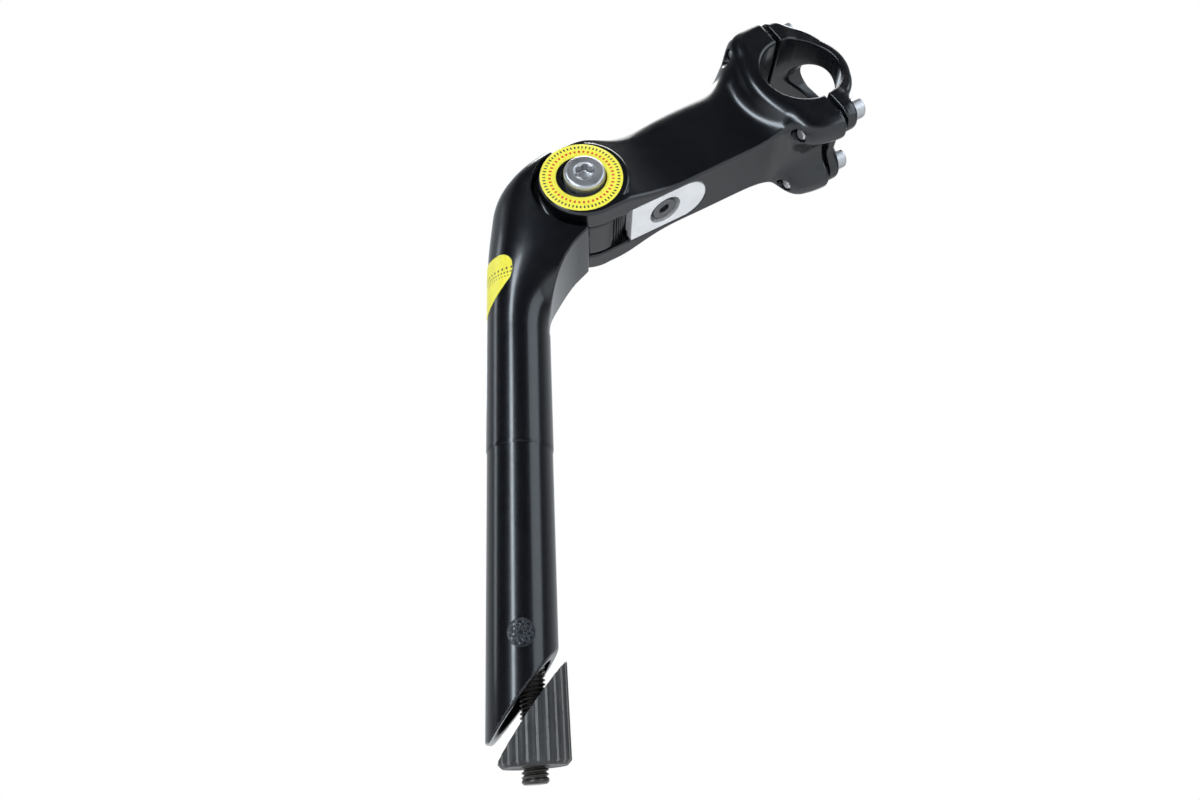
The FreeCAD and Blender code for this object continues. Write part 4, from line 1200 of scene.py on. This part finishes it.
@dataclass
class Faceplate:
    """The front of the bar clamp, a waisted band with an oval window, and its four screws."""

    coat: bpy.types.Material
    zinc: bpy.types.Material
    split: float = 101.2
    seat: float = 106.8
    half: float = 20.3
    band: float = 20.0
    waist: float = 18.3
    ear: float = 6.5
    head_recess: float = 4.7
    shank_bore: float = 2.7

    def field(self, a: Array, y: Array, h: Array) -> Array:
        """The faceplate in the arm's frame."""
        side = np.abs(y)
        clamp = np.hypot(a - CLAMP_AHEAD, h - CLAMP_UP)
        lift = np.degrees(np.arctan2(np.abs(h - CLAMP_UP), a - CLAMP_AHEAD))
        share = np.clip((lift - 25.0) / 62.0, 0.0, 1.0)
        waist = self.waist + 2.0 * ease(share)
        flare = np.clip((lift - 30.0) / 42.0, 0.0, 1.0) * np.where(h > CLAMP_UP, 4.2, 1.6)
        body = meet(clamp - self.band - flare, side - waist, 2.2)
        bridge = meet(a - self.seat + 1.2, np.abs(h - 2.6) - 24.5, 2.0)
        body = blend(body, meet(bridge, side - self.half, 2.0), 3.0)
        for up in (BOSS_UPPER, BOSS_LOWER):
            ear = np.hypot(side - BOSS_ACROSS, h - up) - self.ear
            body = blend(body, meet(ear, a - self.seat, 2.2), 4.5)
        body = meet(body, side - self.half, 2.2)
        window = np.hypot(y / 9.0, (h - CLAMP_UP - 0.6) / 13.8)
        around = np.hypot(y / 81.0, (h - CLAMP_UP - 0.6) / 190.0) + 1e-9
        body = cut(body, window * (window - 1.0) / around, 1.1)
        for up in (36.7, -31.3):
            body = cut(body, np.hypot(y, h - up) - 8.5, 1.1)
        for up in (BOSS_UPPER, BOSS_LOWER):
            off = np.hypot(side - BOSS_ACROSS, h - up)
            body = cut(body, np.maximum(off - self.head_recess, self.seat - a), 0.3)
            body = cut(body, off - self.shank_bore, 0.3)
        body = meet(body, self.split - a, 1.1)
        return meet(body, CLAMP_BORE - clamp, 0.9)

    def build(self) -> None:
        """Builds the band and its four screws."""
        band = field_piece("clamp_faceplate", self.field, ARM, (101.0, -20.5, -29.0),
                           (121.0, 20.5, 34.5), 0.42)
        dress(band, self.coat)
        join_body(band, "front", "black_alloy", "faceplate")
        for level, up in (("upper", BOSS_UPPER), ("lower", BOSS_LOWER)):
            for name, side in (("left", 1.0), ("right", -1.0)):
                place = ARM.inside(self.seat, side * BOSS_ACROSS, up, (1.0, 0.0, 0.0),
                                   (0.0, 1.0, 0.0))
                screw = Screw(f"face_screw_{level}_{name}", place, 4.25, 4.88, 2.5, 23.4, 4.0,
                              head_round=1.05, pitch=0.8, thread_from=10.0, knurl=36,
                              columns=144).build()
                dress(screw, self.zinc)
                join_body(screw, f"screw_{level}_{name}", "zinc_steel",
                          f"face_bolt_{level}_{name}")


# ------------------------------------------------------------------ studio

@dataclass
class Studio:
    """The pale floor, soft lights and the camera."""

    floor_height: float = -0.126
    light_aim: tuple[float, float, float] = (0.04, 0.0, 0.05)
    camera_place: tuple[float, float, float] = (0.018322, -0.282010, -0.117995)
    lens: float = 27.15
    pitch: float = -0.451539
    swing: float = -0.030387
    roll: float = -0.039694

    def lay_floor(self) -> None:
        """A wide pale floor under the stem."""
        mesh = bpy.data.meshes.new("floor")
        reach, level = 4.0, self.floor_height
        mesh.from_pydata([(-reach, -reach, level), (reach, -reach, level), (reach, reach, level),
                          (-reach, reach, level)], [], [(0, 1, 2, 3)])
        floor = bpy.data.objects.new("floor", mesh)
        bpy.context.scene.collection.objects.link(floor)
        sheet = Sheet("pale_floor")
        sheet.shader.inputs["Roughness"].default_value = 0.7
        shade = sheet.tint(sheet.spread(sheet.noise(6.0), "Fac", 0.0, 1.0), 0,
                           (0.86, 0.86, 0.865), (0.84, 0.84, 0.845))
        sheet.join(shade, 2, sheet.shader, "Base Color")
        dress(floor, sheet.material)

    def light(self, name: str, place: tuple[float, float, float], size: tuple[float, float],
              power: float, colour: tuple[float, float, float] = (1.0, 1.0, 1.0)) -> None:
        """A soft rectangular light aimed at the stem."""
        data = bpy.data.lights.new(name, "AREA")
        data.shape = "RECTANGLE"
        data.size, data.size_y = size
        data.energy = power
        data.color = colour
        lamp = bpy.data.objects.new(name, data)
        lamp.location = place
        direction = Vector(self.light_aim) - Vector(place)
        lamp.rotation_euler = direction.to_track_quat("-Z", "Y").to_euler()
        bpy.context.scene.collection.objects.link(lamp)

    def surround(self) -> None:
        """A room that lights the stem gently and looks white behind it."""
        world = bpy.data.worlds.new("room")
        bpy.context.scene.world = world
        world.use_nodes = True
        tree = world.node_tree
        tree.nodes.clear()
        output = tree.nodes.new("ShaderNodeOutputWorld")
        way = tree.nodes.new("ShaderNodeTexCoord")
        split = tree.nodes.new("ShaderNodeSeparateXYZ")
        tree.links.new(way.outputs["Generated"], split.inputs[0])
        level = tree.nodes.new("ShaderNodeMapRange")
        level.interpolation_type = "SMOOTHSTEP"
        for socket, number in (("From Min", -0.35), ("From Max", 0.75), ("To Min", 0.05),
                               ("To Max", 0.75)):
            level.inputs[socket].default_value = number
        tree.links.new(split.outputs["Y"], level.inputs["Value"])
        room, white = (tree.nodes.new("ShaderNodeBackground") for _ in range(2))
        room.inputs["Color"].default_value = (0.90, 0.95, 1.0, 1.0)
        tree.links.new(level.outputs[0], room.inputs["Strength"])
        white.inputs["Color"].default_value = (1.0, 1.0, 1.0, 1.0)
        white.inputs["Strength"].default_value = 1.0
        path = tree.nodes.new("ShaderNodeLightPath")
        mix = tree.nodes.new("ShaderNodeMixShader")
        tree.links.new(path.outputs["Is Camera Ray"], mix.inputs[0])
        tree.links.new(room.outputs[0], mix.inputs[1])
        tree.links.new(white.outputs[0], mix.inputs[2])
        tree.links.new(mix.outputs[0], output.inputs[0])
        bpy.context.scene.view_settings.view_transform = "Standard"

    def aim_camera(self) -> None:
        """Sets the camera: it looks forward across the stem, tipped up by its pitch."""
        base = Matrix(((1, 0, 0), (0, 0, -1), (0, 1, 0)))
        rows = (Matrix.Rotation(self.roll, 3, "Z") @ Matrix.Rotation(self.swing, 3, "Y")
                @ Matrix.Rotation(self.pitch, 3, "X") @ base)
        right, down, ahead = (Vector(row) for row in rows)
        turn = Matrix((right, -down, -ahead)).transposed()
        data = bpy.data.cameras.new("camera")
        data.lens, data.sensor_width, data.sensor_fit = self.lens, 36.0, "HORIZONTAL"
        data.clip_start, data.clip_end = 0.01, 20.0
        camera = bpy.data.objects.new("camera", data)
        camera.matrix_world = Matrix.Translation(self.camera_place) @ turn.to_4x4()
        bpy.context.scene.collection.objects.link(camera)
        bpy.context.scene.camera = camera

    def build(self) -> None:
        """Sets up the floor, room, lights and camera."""
        self.lay_floor()
        self.surround()
        self.aim_camera()
        blue = (0.80, 0.90, 1.0)
        self.light("key", (-0.34, -0.76, 0.22), (0.13, 0.6), 4.2, colour=blue)
        self.light("broad", (0.66, -0.46, 0.30), (0.5, 0.7), 3.0, colour=blue)
        self.light("edge", (-0.85, -0.02, 0.40), (0.16, 0.7), 1.2, colour=blue)
        self.light("low", (0.15, -0.95, -0.30), (0.7, 0.22), 1.6)
        self.light("top", (0.15, 0.10, 1.1), (0.9, 0.7), 13.0)
        self.light("back", (-0.15, 0.85, 0.75), (0.5, 0.6), 1.6, colour=blue)


# ------------------------------------------------------------------ the whole stem

BLACK_INK, RED_INK = (0.02, 0.02, 0.02), (0.62, 0.03, 0.025)


def main() -> None:
    """Loads the frame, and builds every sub-assembly in order."""
    logging.basicConfig(level=logging.INFO, format="%(name)s: %(message)s")
    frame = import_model()

    coat, zinc, oxide = BLACK_COAT.make(), ZINC.make(), BLACK_OXIDE.make()
    iron, blasted, plastic = CAST_IRON.make(), BLASTED.make(), BUSH.make()
    ring_film = Film("ring_film", (
        TickRow(0.443, 0.474, 62.0, 0.0, 0.40, BLACK_INK),
        TickRow(0.382, 0.411, 44.0, 0.3, 0.42, RED_INK),
    )).make()
    neck_film = Film("neck_film", (
        TickRow(0.66, 0.70, 40.0, 0.0, 0.35, BLACK_INK),
        TickRow(0.59, 0.62, 56.0, 0.0, 0.40, BLACK_INK),
        TickRow(0.53, 0.55, 56.0, 0.4, 0.35, BLACK_INK),
    )).make()
    mark = Finish("guide_mark", (0.003, 0.004, 0.006), (0.011, 0.014, 0.020), 0.0, 0.24, 0.36,
                  Grain.CAST, 1700.0, 0.6).make()

    Quill(coat).build(neck_film, mark)
    Expander(frame, oxide, iron, zinc).build()
    Pivot(frame, zinc, plastic).build(ring_film)
    Arm(coat).build()
    Lock(frame, blasted, DARK_STEEL.make()).build()
    Faceplate(coat, zinc).build()
    Studio().build()


if __name__ == "__main__":
    main()
